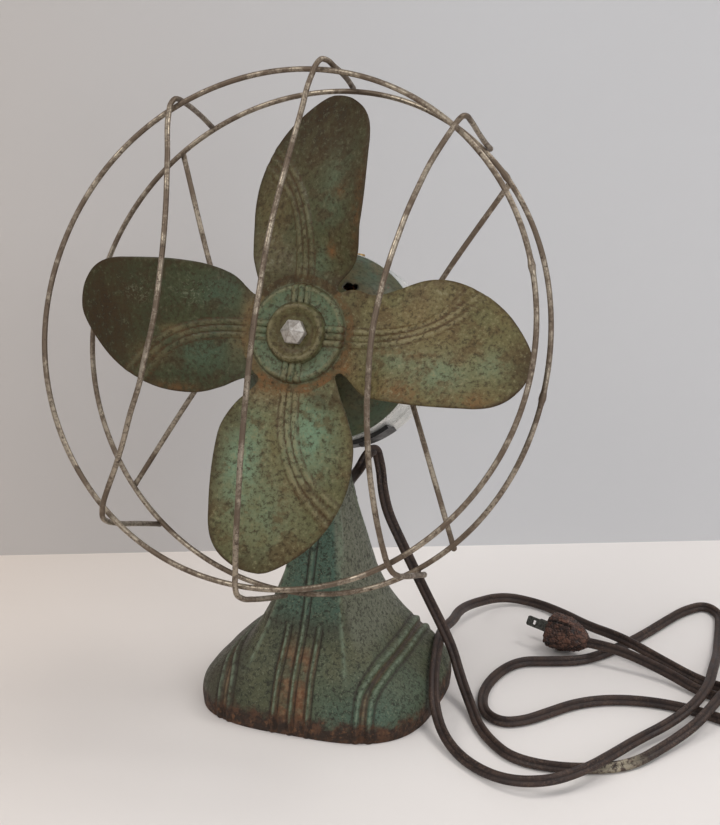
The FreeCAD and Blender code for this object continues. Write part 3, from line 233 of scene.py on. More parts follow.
# ================================================================ material helpers
class Finish:
    """A material's node tree, written from the shader back to its patterns."""

    def __init__(self, name):
        self.material = bpy.data.materials.new(name)
        self.material.use_nodes = True
        self.tree = self.material.node_tree
        self.tree.nodes.clear()
        self.out = self.tree.nodes.new("ShaderNodeOutputMaterial")
        self.shader = self.tree.nodes.new("ShaderNodeBsdfPrincipled")
        self.put(self.out, "Surface", self.shader.outputs[0])
        self.place = self.add("TexCoord", {}, "Object")

    def put(self, node, socket, value):
        """Link an output, or set a number or a colour of three parts."""
        if hasattr(value, "is_output"):
            self.tree.links.new(value, node.inputs[socket])
        elif isinstance(value, tuple):
            node.inputs[socket].default_value = (*value, 1.0)
        elif value is not None:
            node.inputs[socket].default_value = value

    def add(self, kind, inputs, output=0, **settings):
        """New node with its settings and inputs; gives one of its outputs."""
        node = self.tree.nodes.new("ShaderNode" + kind)
        for name, value in settings.items():
            setattr(node, name, value)
        for socket, value in inputs.items():
            self.put(node, socket, value)
        return node.outputs[output]

    def set(self, **values):
        """Inputs of the shader, with _ for a space in their names."""
        for name, value in values.items():
            self.put(self.shader, name.replace("_", " "), value)

    def mapped(self, scale, turn):
        """The place, turned and scaled."""
        return self.add("Mapping", {"Vector": self.place, "Scale": mathutils.Vector(scale),
                                    "Rotation": mathutils.Vector(turn)})

    def noise(self, scale, detail=4, rough=0.55, vector=None, warp=0.0):
        return self.add("TexNoise", {"Vector": vector or self.place, "Scale": scale, "Detail": detail,
                                     "Roughness": rough, "Distortion": warp}, "Fac")

    def cracks(self, scale, vector):
        """Distance to the nearest edge between cells."""
        return self.add("TexVoronoi", {"Vector": vector, "Scale": scale, "Randomness": 1.0}, "Distance",
                        feature="DISTANCE_TO_EDGE")

    def mark(self, name):
        """Values painted on the mesh's points."""
        return self.add("Attribute", {}, "Fac", attribute_name=name)

    def along(self, axis):
        return self.add("SeparateXYZ", {0: self.place}, axis)

    def ramp(self, value, low, high, to_low=0.0, to_high=1.0):
        """Smooth step of a value, from to_low at low to to_high at high."""
        return self.add("MapRange", {"Value": value, "From Min": low, "From Max": high, "To Min": to_low,
                                     "To Max": to_high}, interpolation_type="SMOOTHSTEP")

    def math(self, kind, a, b):
        return self.add("Math", {0: a, 1: b}, operation=kind, use_clamp=kind == "ADD")

    def times(self, a, b):
        return self.math("MULTIPLY", a, b)

    def blend(self, share, a, b):
        """Colour a, with b over it by its share."""
        return self.add("Mix", {0: share, 6: a, 7: b}, 2, data_type="RGBA")

    def tint(self, colour, by):
        return self.add("Mix", {0: 1.0, 6: colour, 7: by}, 2, data_type="RGBA", blend_type="MULTIPLY")

    def pick(self, pattern, low, high, a, b):
        """Colour a where a pattern is low and b where it is high."""
        return self.blend(self.ramp(pattern, low, high), a, b)

    def patchy(self, name, pattern, low, high, to_low=0.0, to_high=1.0):
        """A painted mark, broken up by a pattern."""
        return self.times(self.mark(name), self.ramp(pattern, low, high, to_low, to_high))

    def bump(self, value, distance, strength, under=None):
        return self.add("Bump", {"Strength": strength, "Distance": distance, "Height": value,
                                 "Normal": under})


RUST_BROWN = (0.125, 0.066, 0.036)
# colour of the narrow creases beside the casting's beads
CREASE_DARK = (0.024, 0.019, 0.014)


def wrinkle_paint():
    """Green crackle paint, lighter teal on the ridges and crests, partly rubbed paint and partly painted
    highlight, with rust in the grooves and round the foot.
    """
    f = Finish("base_paint")
    patches = f.noise(48, 5, 0.62)
    grain = f.noise(820, 4, 0.7)
    crackle = f.noise(430, 5, 0.72, warp=0.8)
    colour = f.pick(patches, 0.38, 0.62, (0.058, 0.074, 0.044), (0.088, 0.104, 0.062))
    colour = f.blend(f.ramp(f.noise(19, 4, 0.6), 0.46, 0.64, 0.0, 0.7), colour, (0.074, 0.112, 0.076))
    colour = f.blend(f.patchy("teal", patches, 0.30, 0.58, 0.55, 1.0), colour, (0.058, 0.120, 0.098))
    # grey: painted light, the sides facing right are made a lighter grey-green where the lamps fall on them
    colour = f.blend(f.times(f.mark("grey"), 0.85), colour, (0.132, 0.158, 0.128))
    colour = f.blend(f.ramp(crackle, 0.48, 0.60, 0.0, 0.8), colour, (0.018, 0.020, 0.014))
    colour = f.blend(f.ramp(grain, 0.54, 0.68, 0.0, 0.6), colour, (0.185, 0.225, 0.170))
    # dark: painted shade down the casting's lower left side, and dark smudges across the front
    colour = f.blend(f.patchy("dark", patches, 0.34, 0.56, 0.35, 1.0), colour, (0.034, 0.030, 0.021))
    # ridge: lighter teal on the beads' tops and along the neck's crests, partly rubbed paint and partly
    # painted highlight
    ridge = f.patchy("ridge", f.noise(260, 4, 0.7), 0.38, 0.58)
    colour = f.blend(f.times(ridge, 0.7), colour, (0.185, 0.275, 0.215))
    tan = f.pick(f.noise(300), 0.42, 0.62, (0.205, 0.160, 0.100), (0.110, 0.085, 0.055))
    colour = f.blend(f.patchy("ledge", f.noise(70, 5, 0.65), 0.34, 0.60, 0.25, 0.95), colour, tan)
    rust = f.pick(f.noise(340), 0.42, 0.62, RUST_BROWN, (0.19, 0.125, 0.075))
    groove = f.patchy("groove", f.noise(80, 5, 0.65), 0.36, 0.60, 0.12, 1.0)
    colour = f.blend(groove, colour, rust)
    # seam: darker along the narrow creases at the feet of the beads
    colour = f.blend(f.times(f.mark("seam"), 0.85), colour, CREASE_DARK)
    waver = f.times(f.math("SUBTRACT", f.noise(80, 6, 0.68), 0.5), 0.026)
    foot = f.ramp(f.math("ADD", f.along("Z"), waver), 0.0145, 0.0070)
    soil = f.pick(f.noise(180, 5, 0.7), 0.44, 0.62, (0.030, 0.021, 0.016), (0.080, 0.045, 0.028))
    colour = f.blend(foot, colour, soil)
    flecks = f.times(foot, f.ramp(f.noise(240, 5, 0.72), 0.54, 0.66))
    colour = f.blend(flecks, colour, (0.125, 0.070, 0.040))
    stained = f.times(f.math("ADD", groove, foot), 0.2)
    rough = f.math("ADD", f.ramp(crackle, 0.35, 0.65, 0.36, 0.62), stained)
    pits = f.bump(f.noise(240, 5, 0.7), 0.0007, 0.5, f.bump(crackle, 0.0006, 0.8))
    f.set(Base_Color=f.tint(colour, (0.94, 0.80, 0.68)), Roughness=rough, Normal=pits,
          Specular_IOR_Level=0.28)
    return f.material


def blade_paint():
    """Thin green lacquer over sheet steel, browned by age, with rust at the roots, ribs and edges."""
    f = Finish("blade_paint")
    # tone: painted light, one lightness per blade for the way it faces the lamps, which every colour below is
    # blended by
    tone = f.mark("tone")
    cloud = f.noise(85, 6, 0.68)
    grain = f.noise(420, 6, 0.72)
    streaks = f.noise(150, 5, 0.7, f.mapped((1.0, 1.0, 0.35), (0.0, 0.3, 0.0)))
    green = f.blend(tone, (0.036, 0.056, 0.036), (0.135, 0.150, 0.088))
    olive = f.blend(tone, (0.050, 0.064, 0.036), (0.160, 0.150, 0.084))
    colour = f.pick(f.noise(26, 4, 0.6), 0.36, 0.64, green, olive)
    teal = f.blend(tone, (0.070, 0.150, 0.135), (0.200, 0.400, 0.360))
    colour = f.blend(f.patchy("teal", cloud, 0.30, 0.58, 0.35, 1.0), colour, teal)
    colour = f.blend(f.patchy("tan", cloud, 0.34, 0.60, 0.3, 1.0), colour, (0.225, 0.180, 0.108))
    brown = f.blend(tone, (0.048, 0.042, 0.024), (0.112, 0.086, 0.046))
    colour = f.blend(f.ramp(cloud, 0.47, 0.62, 0.0, 0.74), colour, brown)
    dark = f.patchy("dark", streaks, 0.32, 0.58, 0.4, 1.0)
    colour = f.blend(dark, colour, f.pick(grain, 0.42, 0.58, (0.026, 0.019, 0.012), (0.060, 0.042, 0.025)))
    rust = f.patchy("rust", f.noise(190, 5, 0.72), 0.36, 0.58)
    colour = f.blend(rust, colour, f.pick(grain, 0.40, 0.60, (0.150, 0.078, 0.040), (0.275, 0.160, 0.080)))
    # ridge: painted highlight, lighter tan along the tops of the pressed ribs and the hub's rim lips
    ridge = f.times(f.patchy("ridge", f.noise(200, 5, 0.7), 0.36, 0.58), 0.7)
    colour = f.blend(ridge, colour, f.blend(tone, (0.150, 0.155, 0.115), (0.290, 0.300, 0.230)))
    # seam: darker brown lines beside the pressed ribs, and painted shade in the grooves at the feet of the
    # hub's steps
    seam = f.patchy("seam", cloud, 0.28, 0.55, 0.45, 0.95)
    colour = f.blend(seam, colour, f.pick(grain, 0.42, 0.58, (0.042, 0.032, 0.020), (0.110, 0.064, 0.034)))
    colour = f.blend(f.ramp(grain, 0.50, 0.62, 0.0, 0.72), colour, (0.040, 0.032, 0.019))
    pale = f.blend(tone, (0.12, 0.145, 0.12), (0.30, 0.32, 0.24))
    colour = f.blend(f.ramp(grain, 0.46, 0.34, 0.0, 0.5), colour, pale)
    blots = f.times(f.ramp(f.noise(230, 5, 0.75), 0.60, 0.68), f.ramp(f.noise(52), 0.44, 0.60))
    colour = f.blend(f.times(blots, 0.85), colour, (0.052, 0.034, 0.020))
    scuff = f.patchy("scuff", f.noise(260, 3, 0.6, warp=2.5), 0.56, 0.62)
    colour = f.blend(f.times(scuff, 0.6), colour, (0.20, 0.26, 0.24))
    colour = f.blend(f.patchy("rim", f.noise(150, 5, 0.72), 0.30, 0.55), colour, (0.050, 0.034, 0.021))
    worn = f.times(f.math("ADD", rust, dark), 0.2)
    dents = f.bump(f.noise(38, 3), 0.0022, 0.4, f.bump(grain, 0.0003, 0.55))
    f.set(Base_Color=f.tint(colour, (0.80, 0.66, 0.46)), Normal=dents, Specular_IOR_Level=0.20,
          Roughness=f.math("ADD", f.ramp(grain, 0.35, 0.65, 0.36, 0.58), worn))
    return f.material


def cover_paint():
    """The blades' lacquer on the motor's cover, darker and less stained."""
    f = Finish("cover_paint")
    grain = f.noise(480, 6, 0.7)
    colour = f.pick(f.noise(70, 5, 0.65), 0.40, 0.62, (0.072, 0.086, 0.050), (0.112, 0.102, 0.056))
    colour = f.blend(f.ramp(f.noise(32), 0.50, 0.64, 0.0, 0.7), colour, (0.052, 0.105, 0.078))
    colour = f.blend(f.ramp(grain, 0.48, 0.64, 0.0, 0.6), colour, (0.032, 0.032, 0.020))
    colour = f.blend(f.ramp(f.noise(190, 5, 0.7), 0.60, 0.70, 0.0, 0.8), colour, RUST_BROWN)
    # dark: painted shade, the paint goes near black in a band round each vent, strongest at its edge
    colour = f.blend(f.mark("dark"), f.tint(colour, (0.85, 0.75, 0.58)), (0.016, 0.015, 0.010))
    f.set(Base_Color=colour, Roughness=f.ramp(grain, 0.3, 0.7, 0.36, 0.56),
          Normal=f.bump(grain, 0.0003, 0.5), Specular_IOR_Level=0.25)
    return f.material


def guard_nickel():
    """Old nickel plate gone bronze and brown, bright only where it is rubbed."""
    f = Finish("guard_wire")
    worn = f.noise(55, 5, 0.65)
    fine = f.noise(520, 5, 0.72)
    share = f.math("ADD", f.ramp(worn, 0.40, 0.60), f.ramp(fine, 0.46, 0.62, 0.0, 0.7))
    colour = f.blend(share, (0.35, 0.295, 0.225), (0.120, 0.085, 0.057))
    colour = f.blend(f.ramp(f.noise(300, 6, 0.75), 0.56, 0.64, 0.0, 0.9), colour, (0.060, 0.038, 0.024))
    f.set(Base_Color=colour, Metallic=f.ramp(share, 0.0, 1.0, 0.85, 0.50),
          Roughness=f.ramp(share, 0.0, 1.0, 0.34, 0.52),
          Normal=f.bump(f.math("ADD", fine, worn), 0.00018, 0.45))
    return f.material


def bright_band():
    """Plated steel with fine lines round it and a grey film."""
    f = Finish("band_steel")
    lines = f.noise(60, 4, 0.6, f.mapped((1, 26, 14), (-REST_TILT, 0, 0)))
    colour = f.pick(f.noise(45, 5, 0.6), 0.38, 0.66, (0.74, 0.74, 0.71), (0.50, 0.52, 0.50))
    colour = f.blend(f.ramp(lines, 0.54, 0.70, 0.0, 0.5), colour, (0.30, 0.31, 0.30))
    f.set(Base_Color=colour, Metallic=0.72, Roughness=f.ramp(lines, 0.35, 0.65, 0.26, 0.44),
          Normal=f.bump(lines, 0.00012, 0.4))
    return f.material


def metal(name, bright, dim, metallic, rough, scale, rust=0.0):
    """Plain metal with a finer dim mottling, and rust where rust is above nought."""
    f = Finish(name)
    mottle = f.noise(scale, 5, 0.65)
    colour = f.pick(mottle, 0.38, 0.64, bright, dim)
    if rust:
        spots = f.ramp(f.noise(scale * 1.7, 5, 0.7), 0.62 - 0.2 * rust, 0.72 - 0.2 * rust)
        colour = f.blend(spots, colour, RUST_BROWN)
    f.set(Base_Color=colour, Metallic=metallic, Roughness=f.ramp(mottle, 0.3, 0.7, rough, rough + 0.22),
          Normal=f.bump(f.noise(scale * 3, 4, 0.6), 0.00015, 0.4))
    return f.material


def felted(name, dark, light, rough, scale):
    """Felt: two near tones, fine bump and no shine."""
    f = Finish(name)
    mottle = f.noise(scale, 5, 0.65)
    f.set(Base_Color=f.pick(mottle, 0.36, 0.66, dark, light),
          Roughness=f.ramp(mottle, 0.3, 0.7, rough, rough + 0.15),
          Normal=f.bump(f.noise(scale * 4, 4, 0.65), 0.0003, 0.6))
    return f.material


def cord_rubber():
    """Brown-black rubber, worn to a lighter brown in patches, with one smear of pale paint."""
    f = Finish("cord_rubber")
    mottle = f.noise(90, 5, 0.65)
    grain = f.noise(700, 4, 0.65)
    colour = f.pick(mottle, 0.36, 0.66, (0.022, 0.014, 0.012), (0.050, 0.031, 0.024))
    worn = f.times(f.ramp(grain, 0.46, 0.66), f.ramp(f.noise(55), 0.42, 0.62, 0.25, 0.9))
    colour = f.blend(worn, colour, (0.098, 0.062, 0.044))
    # groove: painted shade down the valley between the two cores
    colour = f.blend(f.times(f.mark("groove"), 0.65), colour, (0.016, 0.011, 0.010))
    colour = f.blend(f.patchy("paint", f.noise(300, 5, 0.75), 0.42, 0.56), colour, (0.30, 0.26, 0.185))
    f.set(Base_Color=colour, Roughness=f.ramp(mottle, 0.3, 0.7, 0.42, 0.60),
          Normal=f.bump(grain, 0.00018, 0.5), Specular_IOR_Level=0.25)
    return f.material


def crusty_rubber():
    """The plug's perished rubber: red-brown crust with dark cracks and splits."""
    f = Finish("plug_rubber")
    crack = f.cracks(330, f.mapped((0.45, 1.0, 1.0), (0.0, 0.0, 0.46)))
    mottle = f.noise(170, 6, 0.72)
    colour = f.pick(mottle, 0.38, 0.62, (0.030, 0.018, 0.015), (0.125, 0.058, 0.038))
    colour = f.blend(f.ramp(f.noise(420, 5, 0.7), 0.54, 0.66, 0.0, 0.75), colour, (0.20, 0.105, 0.072))
    colour = f.blend(f.ramp(crack, 0.07, 0.0), colour, (0.012, 0.009, 0.008))
    colour = f.blend(f.mark("split"), colour, (0.010, 0.007, 0.006))
    crust = f.math("ADD", f.ramp(crack, 0.0, 0.2, 0.0, 0.6), f.times(mottle, 0.7))
    f.set(Base_Color=colour, Roughness=f.ramp(mottle, 0.3, 0.7, 0.50, 0.78),
          Normal=f.bump(crust, 0.0010, 0.85), Specular_IOR_Level=0.35)
    return f.material


def nut_plating():
    """Nickel with a grey mottle, darker along the lines where the nut's facets meet."""
    f = Finish("nut_plate")
    mottle = f.noise(420, 5, 0.65)
    colour = f.pick(mottle, 0.38, 0.64, (0.50, 0.47, 0.43), (0.32, 0.285, 0.25))
    # edge: darker lines where the facets meet
    colour = f.blend(f.times(f.mark("edge"), 0.5), colour, (0.07, 0.055, 0.045))
    f.set(Base_Color=colour, Metallic=0.5, Roughness=f.ramp(mottle, 0.3, 0.7, 0.30, 0.46),
          Normal=f.bump(f.noise(1200, 4, 0.6), 0.00015, 0.4))
    return f.material


PAINT_BASE = wrinkle_paint()
PAINT_BLADE = blade_paint()
PAINT_COVER = cover_paint()
GUARD = guard_nickel()
BAND = bright_band()
BLACK_STEEL = metal("black_steel", (0.020, 0.020, 0.021), (0.034, 0.031, 0.029), 0.35, 0.36, 260, 0.15)
SCREW_STEEL = metal("screw_steel", (0.36, 0.35, 0.33), (0.22, 0.20, 0.17), 0.9, 0.34, 500, 0.5)
PLATE_STEEL = metal("plate_steel", (0.20, 0.19, 0.18), (0.13, 0.12, 0.10), 0.8, 0.45, 120, 0.7)
NUT_PLATE = nut_plating()
WASHER = metal("rusty_washer", (0.16, 0.10, 0.062), (0.24, 0.15, 0.085), 0.5, 0.5, 420, 0.6)
CORE = metal("core_steel", (0.16, 0.16, 0.165), (0.09, 0.09, 0.09), 0.8, 0.42, 300, 0.2)
COPPER = metal("copper", (0.50, 0.20, 0.085), (0.34, 0.13, 0.06), 0.9, 0.32, 420)
BRONZE = metal("bronze", (0.42, 0.27, 0.11), (0.30, 0.19, 0.085), 0.9, 0.34, 300)
CAGE = metal("cage_aluminium", (0.62, 0.62, 0.62), (0.46, 0.46, 0.47), 0.9, 0.34, 300)
BRASS = metal("prong_brass", (0.125, 0.128, 0.115), (0.060, 0.058, 0.050), 0.75, 0.42, 700)
FELT = felted("felt", (0.26, 0.25, 0.22), (0.18, 0.16, 0.13), 0.85, 900)
PAD = felted("pad_felt", (0.10, 0.11, 0.09), (0.07, 0.07, 0.06), 0.85, 700)
CORD = cord_rubber()
PLUG = crusty_rubber()

# the nodes that keep the shape of their solids, by finish
NODE_FINISHES = [
    (PLATE_STEEL, "bottom_plate tongue_pin bearing_caps"), (PAD, "base_pad"), (FELT, "oil_felts"),
    (SCREW_STEEL, "base_screws through_bolts shaft_spacers strut_screws"),
    (BLACK_STEEL, "tilt_tongue tilt_bolt tilt_washers thumb_nut cradle cradle_screws set_screw"),
    (PAINT_COVER, "front_cover"), (BAND, "rear_cover"), (CORD, "lead_grommet neck_lead"),
    (BRONZE, "oil_cup front_bearing rear_bearing"), (CORE, "stator_core rotor_core"),
    (COPPER, "stator_coils shading_rings"), (CAGE, "rotor_cage"),
]
for finish, node_names in NODE_FINISHES:
    for node_name in node_names.split():
        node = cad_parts[node_name]
        if not node.material_slots:
            node.data.materials.append(finish)
        for material_slot in node.material_slots:
            material_slot.material = finish


# ================================================================ camera
AZIMUTH, ELEVATION, ROLL = math.radians(19.524), math.radians(17.252), math.radians(0.415)
CAMERA_AT = (0.31906, -0.84742, 0.45383)
LENS, SENSOR_HEIGHT = 72.49, 36.0


def view_camera():
    """Camera turned by the azimuth and elevation, and then rolled."""
    data = bpy.data.cameras.new("camera")
    camera = placed("camera", data)
    ca, sa, ce, se = math.cos(AZIMUTH), math.sin(AZIMUTH), math.cos(ELEVATION), math.sin(ELEVATION)
    level = np.array([ca, sa, 0.0])
    back = np.array([sa * ce, -ca * ce, se])
    above = np.cross(back, level)
    right = math.cos(ROLL) * level + math.sin(ROLL) * above
    up = math.cos(ROLL) * above - math.sin(ROLL) * level
    turn = np.eye(4)
    turn[:3, 0], turn[:3, 1], turn[:3, 2], turn[:3, 3] = right, up, back, CAMERA_AT
    camera.matrix_world = mathutils.Matrix(turn.tolist())
    data.sensor_fit = "VERTICAL"
    data.sensor_height = SENSOR_HEIGHT
    data.lens = LENS
    data.clip_start, data.clip_end = 0.02, 20
    scene.camera = camera


view_camera()

# ================================================================ mains cord
CORD_ROUTE = [
    (-2, 31, 94), (-2, 38.5, 94), (-2.6, 45.4, 98.4), (-3.2, 47, 106), (-2.6, 42, 112.5),
    (0.2, 33, 118.2), (4.4, 23.5, 124.4), (10.3, 15.5, 131.4), (15.9, 9, 138.6), (18.7, 10.1, 144.9),
    (20.4, 16.2, 147.5), (21.2, 22.3, 145.4), (21.6, 25, 139.2), (23.5, 24, 132.4), (25, 22.5, 122),
    (28.5, 22, 107.8), (36, 23, 91.8), (44, 25, 74.1), (51.5, 29, 55.6), (60, 30, 39), (69, 26, 25.4),
    (77.5, 16, 11.5), (91, -5.5, 3.8), (98.5, -20, 2.4), (110.5, -36.5, 2.7), (126, -51, 2.9),
    (147, -54, 3), (169.5, -48.5, 3), (190, -36.5, 2.9), (205, -9, 4.4), (217, 13, 8), (223, 37, 9.9),
    (229, 66, 9.9), (232, 84, 9.9), (240, 107, 6), (260, 120, 3), (283, 111, 2.9), (287, 87, 2.7),
    (265, 73, 3), (238, 72, 3), (211, 78, 3), (186, 90.5, 6.6), (167.5, 99.5, 9.9), (152, 110.5, 9.9),
    (130.5, 127.5, 6), (110, 145.5, 4), (88.5, 158.5, 3), (66, 156, 5.4), (53.5, 126, 10.6),
    (52.5, 97, 17.6), (56.5, 69.5, 22.6), (56, 48, 26.4), (61.5, 20, 28.8), (69, -12.5, 22),
    (75.5, -28.5, 9.6), (89, -49.5, 4.2), (107.5, -67, 2.8), (130.5, -80, 5), (153.5, -80.5, 9.2),
    (169, -63, 9.9), (179.5, -39.5, 8.8), (188, -10.5, 5), (201, 8.5, 7), (212, 30, 9.9),
    (217, 59.5, 9.9), (216, 86, 9.9), (215, 112, 6), (212, 140, 1.8), (209, 167, 1.8),
    (206.5, 184, 2.6), (195, 194, 3), (184, 180.5, 2.9), (178, 167, 2.8), (172, 151, 2.8),
    (163.5, 129, 2.8), (151.5, 103.5, 2.9), (137.5, 82.5, 3), (117.5, 74, 3), (100.5, 68, 3),
    (91.5, 48, 2.7), (89.5, 22, 2.2), (96.5, -3, 2.4), (110, -14, 3), (122.5, -7, 3), (132, 6, 2.9),
    (145.5, 25, 2.9), (164, 37, 3), (188, 42.5, 3), (213, 40, 3), (238, 31, 3), (262, 19, 3),
    (287, 19, 3), (305, 39, 2.1), (292, 62, 3), (264, 65, 3), (238, 59, 3), (214, 63, 3),
    (190, 79, 5.4), (168, 85.5, 9.6), (151, 88.5, 12.1), (136.9, 89.4, 12.3),
]


def route_line():
    """The cord's centreline, read from a NURBS spline that has the route's points as its control points."""
    curve = bpy.data.curves.new("cord_route", "CURVE")
    curve.dimensions = "3D"
    spline = curve.splines.new("NURBS")
    spline.points.add(len(CORD_ROUTE) - 1)
    flat = np.array([(*p, 1000.0) for p in CORD_ROUTE]) * 0.001
    spline.points.foreach_set("co", flat.ravel())
    spline.order_u = 3
    spline.use_endpoint_u = True
    curve.resolution_u = 12
    holder = placed("cord_route", curve)
    bpy.context.view_layer.update()
    mesh = bpy.data.meshes.new_from_object(holder)
    line = np.empty(len(mesh.vertices) * 3)
    mesh.vertices.foreach_get("co", line)
    bpy.data.objects.remove(holder)
    bpy.data.curves.remove(curve)
    bpy.data.meshes.remove(mesh)
    return line.reshape(-1, 3) * 1000


def twin_section(sides):
    """Outline of two round cores side by side with a web between them, as radius by angle."""
    a = full_turn(sides) + np.pi / sides
    apart, core, web = 1.4, 1.6, 0.95
    lobe = apart * np.abs(np.cos(a)) + np.sqrt(np.maximum(core**2 - (apart * np.sin(a))**2, 0.0))
    bridge = web / np.maximum(np.abs(np.sin(a)), 0.2)
    near_middle = np.abs(np.cos(a)) * lobe < 1.0
    r = np.where(near_middle, np.maximum(np.minimum(lobe, bridge * 1.3), bridge), lobe)
    return r[:, None] * np.stack([np.cos(a), np.sin(a)], axis=1)


# smear of paint and valley between the cores: place along the route's points, reach and half width
SMEAR_AT, SMEAR_REACH, VALLEY_HALF = 27.4, 0.55, 0.55


def flat_cord():
    """Twin section carried along the route.

    Its width lies across the tangent t and the line v from the view's place: w = v x t, kept to one side."""
    line = route_line()
    index = np.linspace(0, len(CORD_ROUTE) - 1, len(line))
    tangent = unit(np.gradient(line, axis=0))
    way = unit(np.cross(line - np.array(CAMERA_AT) * 1000, tangent))
    turned = np.sign((way[1:] * way[:-1]).sum(1))
    way[1:] *= np.cumprod(turned)[:, None]
    for _ in range(12):
        way[1:-1] = unit(way[:-2] + 2 * way[1:-1] + way[2:])
    way = unit(way - (way * tangent).sum(1, keepdims=True) * tangent)
    other = np.cross(tangent, way)
    section = twin_section(32)
    swell = 1.04 + 0.02 * np.sin(index * 2.1) * np.sin(index * 0.77)
    offset = way[:, None] * section[:, :1] + other[:, None] * section[:, 1:]
    # groove: the valley between the cores, painted darker as shade
    marks = {"groove": np.tile(hump(section[:, 0], 0, VALLEY_HALF), len(line)),
             "paint": np.repeat(hump(index, SMEAR_AT, SMEAR_REACH), len(section))}
    cord = closed_skin("flat_cord", line[:, None] + offset * swell[:, None, None], [line[0], line[-1]],
                       "pedestal", ["mains_cord"], CORD, 55, marks)
    return cord, line


BOOT_LENGTH = 21.0


def cord_boot(line):
    """Tapered rubber sleeve round the cord's first stretch behind the neck, ribbed past its foot."""
    reach = np.linspace(0, BOOT_LENGTH, 30)
    t = reach / BOOT_LENGTH
    radius = 4.9 - 1.35 * t + 0.18 * np.cos(t * 2 * np.pi * 5) * (t > 0.15)
    return capped_tube("cord_boot", [points_at(line, reach)], radius, "pedestal", ["cord_bushing"],
                       CORD, 28, (1.0, 0.0, 0.0))


PLUG_ROLL = math.radians(-27)
PLUG_WAY = np.array([-0.8944, 0.4472, 0.0])
UP = np.array([0.0, 0.0, 1.0])
# outline of the plug: distance along it and radius
PLUG_OUTLINE = [
    (-1.5, 3.4), (0.5, 4.6), (3, 6.2), (6.0, 7.8), (9, 8.9), (12, 9.6), (15, 10.4), (17.5, 11.2),
    (19.5, 11.7), (22.5, 11.9), (24.0, 11.7), (24.5, 10.9), (24.7, 9.3), (25.0, 8.9), (26.9, 8.6),
    (27.3, 7.6),
]
# splits of the plug: angle round it, depth, and where along it each begins
PLUG_SPLITS = [(0.5, 1.1, 9), (1.35, 0.8, 12), (2.3, 1.3, 6), (3.6, 0.9, 10), (4.5, 1.2, 8), (5.6, 0.8, 13)]
# flat contact blades: half their distance and thickness, and the cells' edges along and across them
PRONG_OUT, PRONG_HALF = 6.35, 0.75
PRONG_RUNS, PRONG_RISES = [25.0, 35.6, 38.4, 41.6, 42.6], [-3.1, -1.3, 1.3, 3.1]


def plug_frame():
    """Foot of the plug on the cord's end, the way it points, and its rolled width and height."""
    width = np.cross(PLUG_WAY, UP) * math.cos(PLUG_ROLL) + UP * math.sin(PLUG_ROLL)
    return np.array(CORD_ROUTE[-1], float), PLUG_WAY, width, np.cross(width, PLUG_WAY)


def plug_shell():
    """Perished plug: a flared grip, nearly square in section, stepped at its face and split along its length.

    Radius from an outline; the section goes from round to u^4 + v^4 = r^4; roughness and splits on top."""
    end, along, width, height = plug_frame()
    p = smooth_line(PLUG_OUTLINE, 110)
    a = full_turn(150)
    square = (np.cos(a)**4 + np.sin(a)**4)**(-1 / 4)
    s = p[:, :1]
    shape = 1 + ease((s - 5) / 8) * (square - 1.07)
    rough = (0.34 * np.sin(5 * a + 0.9 * s) * np.sin(0.83 * s + 2 * np.sin(3 * a))
             + 0.26 * np.sin(11 * a - 1.7 * s) * np.sin(1.9 * s + 1.1) + 0.16 * np.sin(23 * a + 2.9 * s))
    split = np.zeros_like(rough)
    for angle, deep, start in PLUG_SPLITS:
        split -= deep * hump(half_turns(a - angle - 0.018 * s), 0, 0.055) * ease((s - start) / 6)
    r = (p[:, 1:] * shape + (rough + split) * ease((s + 1) / 5))[..., None]
    ring = r * (np.cos(a)[:, None] * width + np.sin(a)[:, None] * height)
    grid = end + s[..., None] * along + ring
    grid[..., 2] = np.maximum(grid[..., 2], 0.15)
    return closed_skin("plug_shell", grid, [end - along * 1.5, end + along * 27.0], "pedestal", ["plug_body"],
                       PLUG, 45, {"split": np.clip(-split, 0, 1)}, flip=True)


def plug_blades():
    """Two flat contact blades, each a grid of cells with one cell left open as its hole."""
    end, along, width, height = plug_frame()
    points, faces = [], []
    rim = ([(i, 0) for i in range(5)] + [(4, 1), (4, 2)]
           + [(i, 3) for i in range(4, -1, -1)] + [(0, 2), (0, 1)])
    hole = [(1, 1), (1, 2), (2, 2), (2, 1)]

    def corner(layer, i, j):
        return first + (layer * len(PRONG_RUNS) + i) * len(PRONG_RISES) + j

    for place in (-PRONG_OUT, PRONG_OUT):
        first = len(points)
        for thick in (-PRONG_HALF, PRONG_HALF):
            for run in PRONG_RUNS:
                pinch = 0.72 if run == PRONG_RUNS[-1] else 1.0
                for rise in PRONG_RISES:
                    points.append(end + along * run + width * (place + thick) + height * rise * pinch)
        for i, j in ((i, j) for i in range(4) for j in range(3) if (i, j) != (1, 1)):
            square = [(i, j), (i + 1, j), (i + 1, j + 1), (i, j + 1)]
            faces.append([corner(1, *c) for c in square])
            faces.append([corner(0, *c) for c in square[::-1]])
        for loop in (rim, hole):
            for a, b in zip(loop, loop[1:] + loop[:1]):
                faces.append([corner(0, *a), corner(0, *b), corner(1, *b), corner(1, *a)])
    return surface("plug_blades", points, [faces], "pedestal", ["plug_prongs"], BRASS, 30)


cord, cord_line = flat_cord()
boot = cord_boot(cord_line)
plug = plug_shell()
prongs = plug_blades()

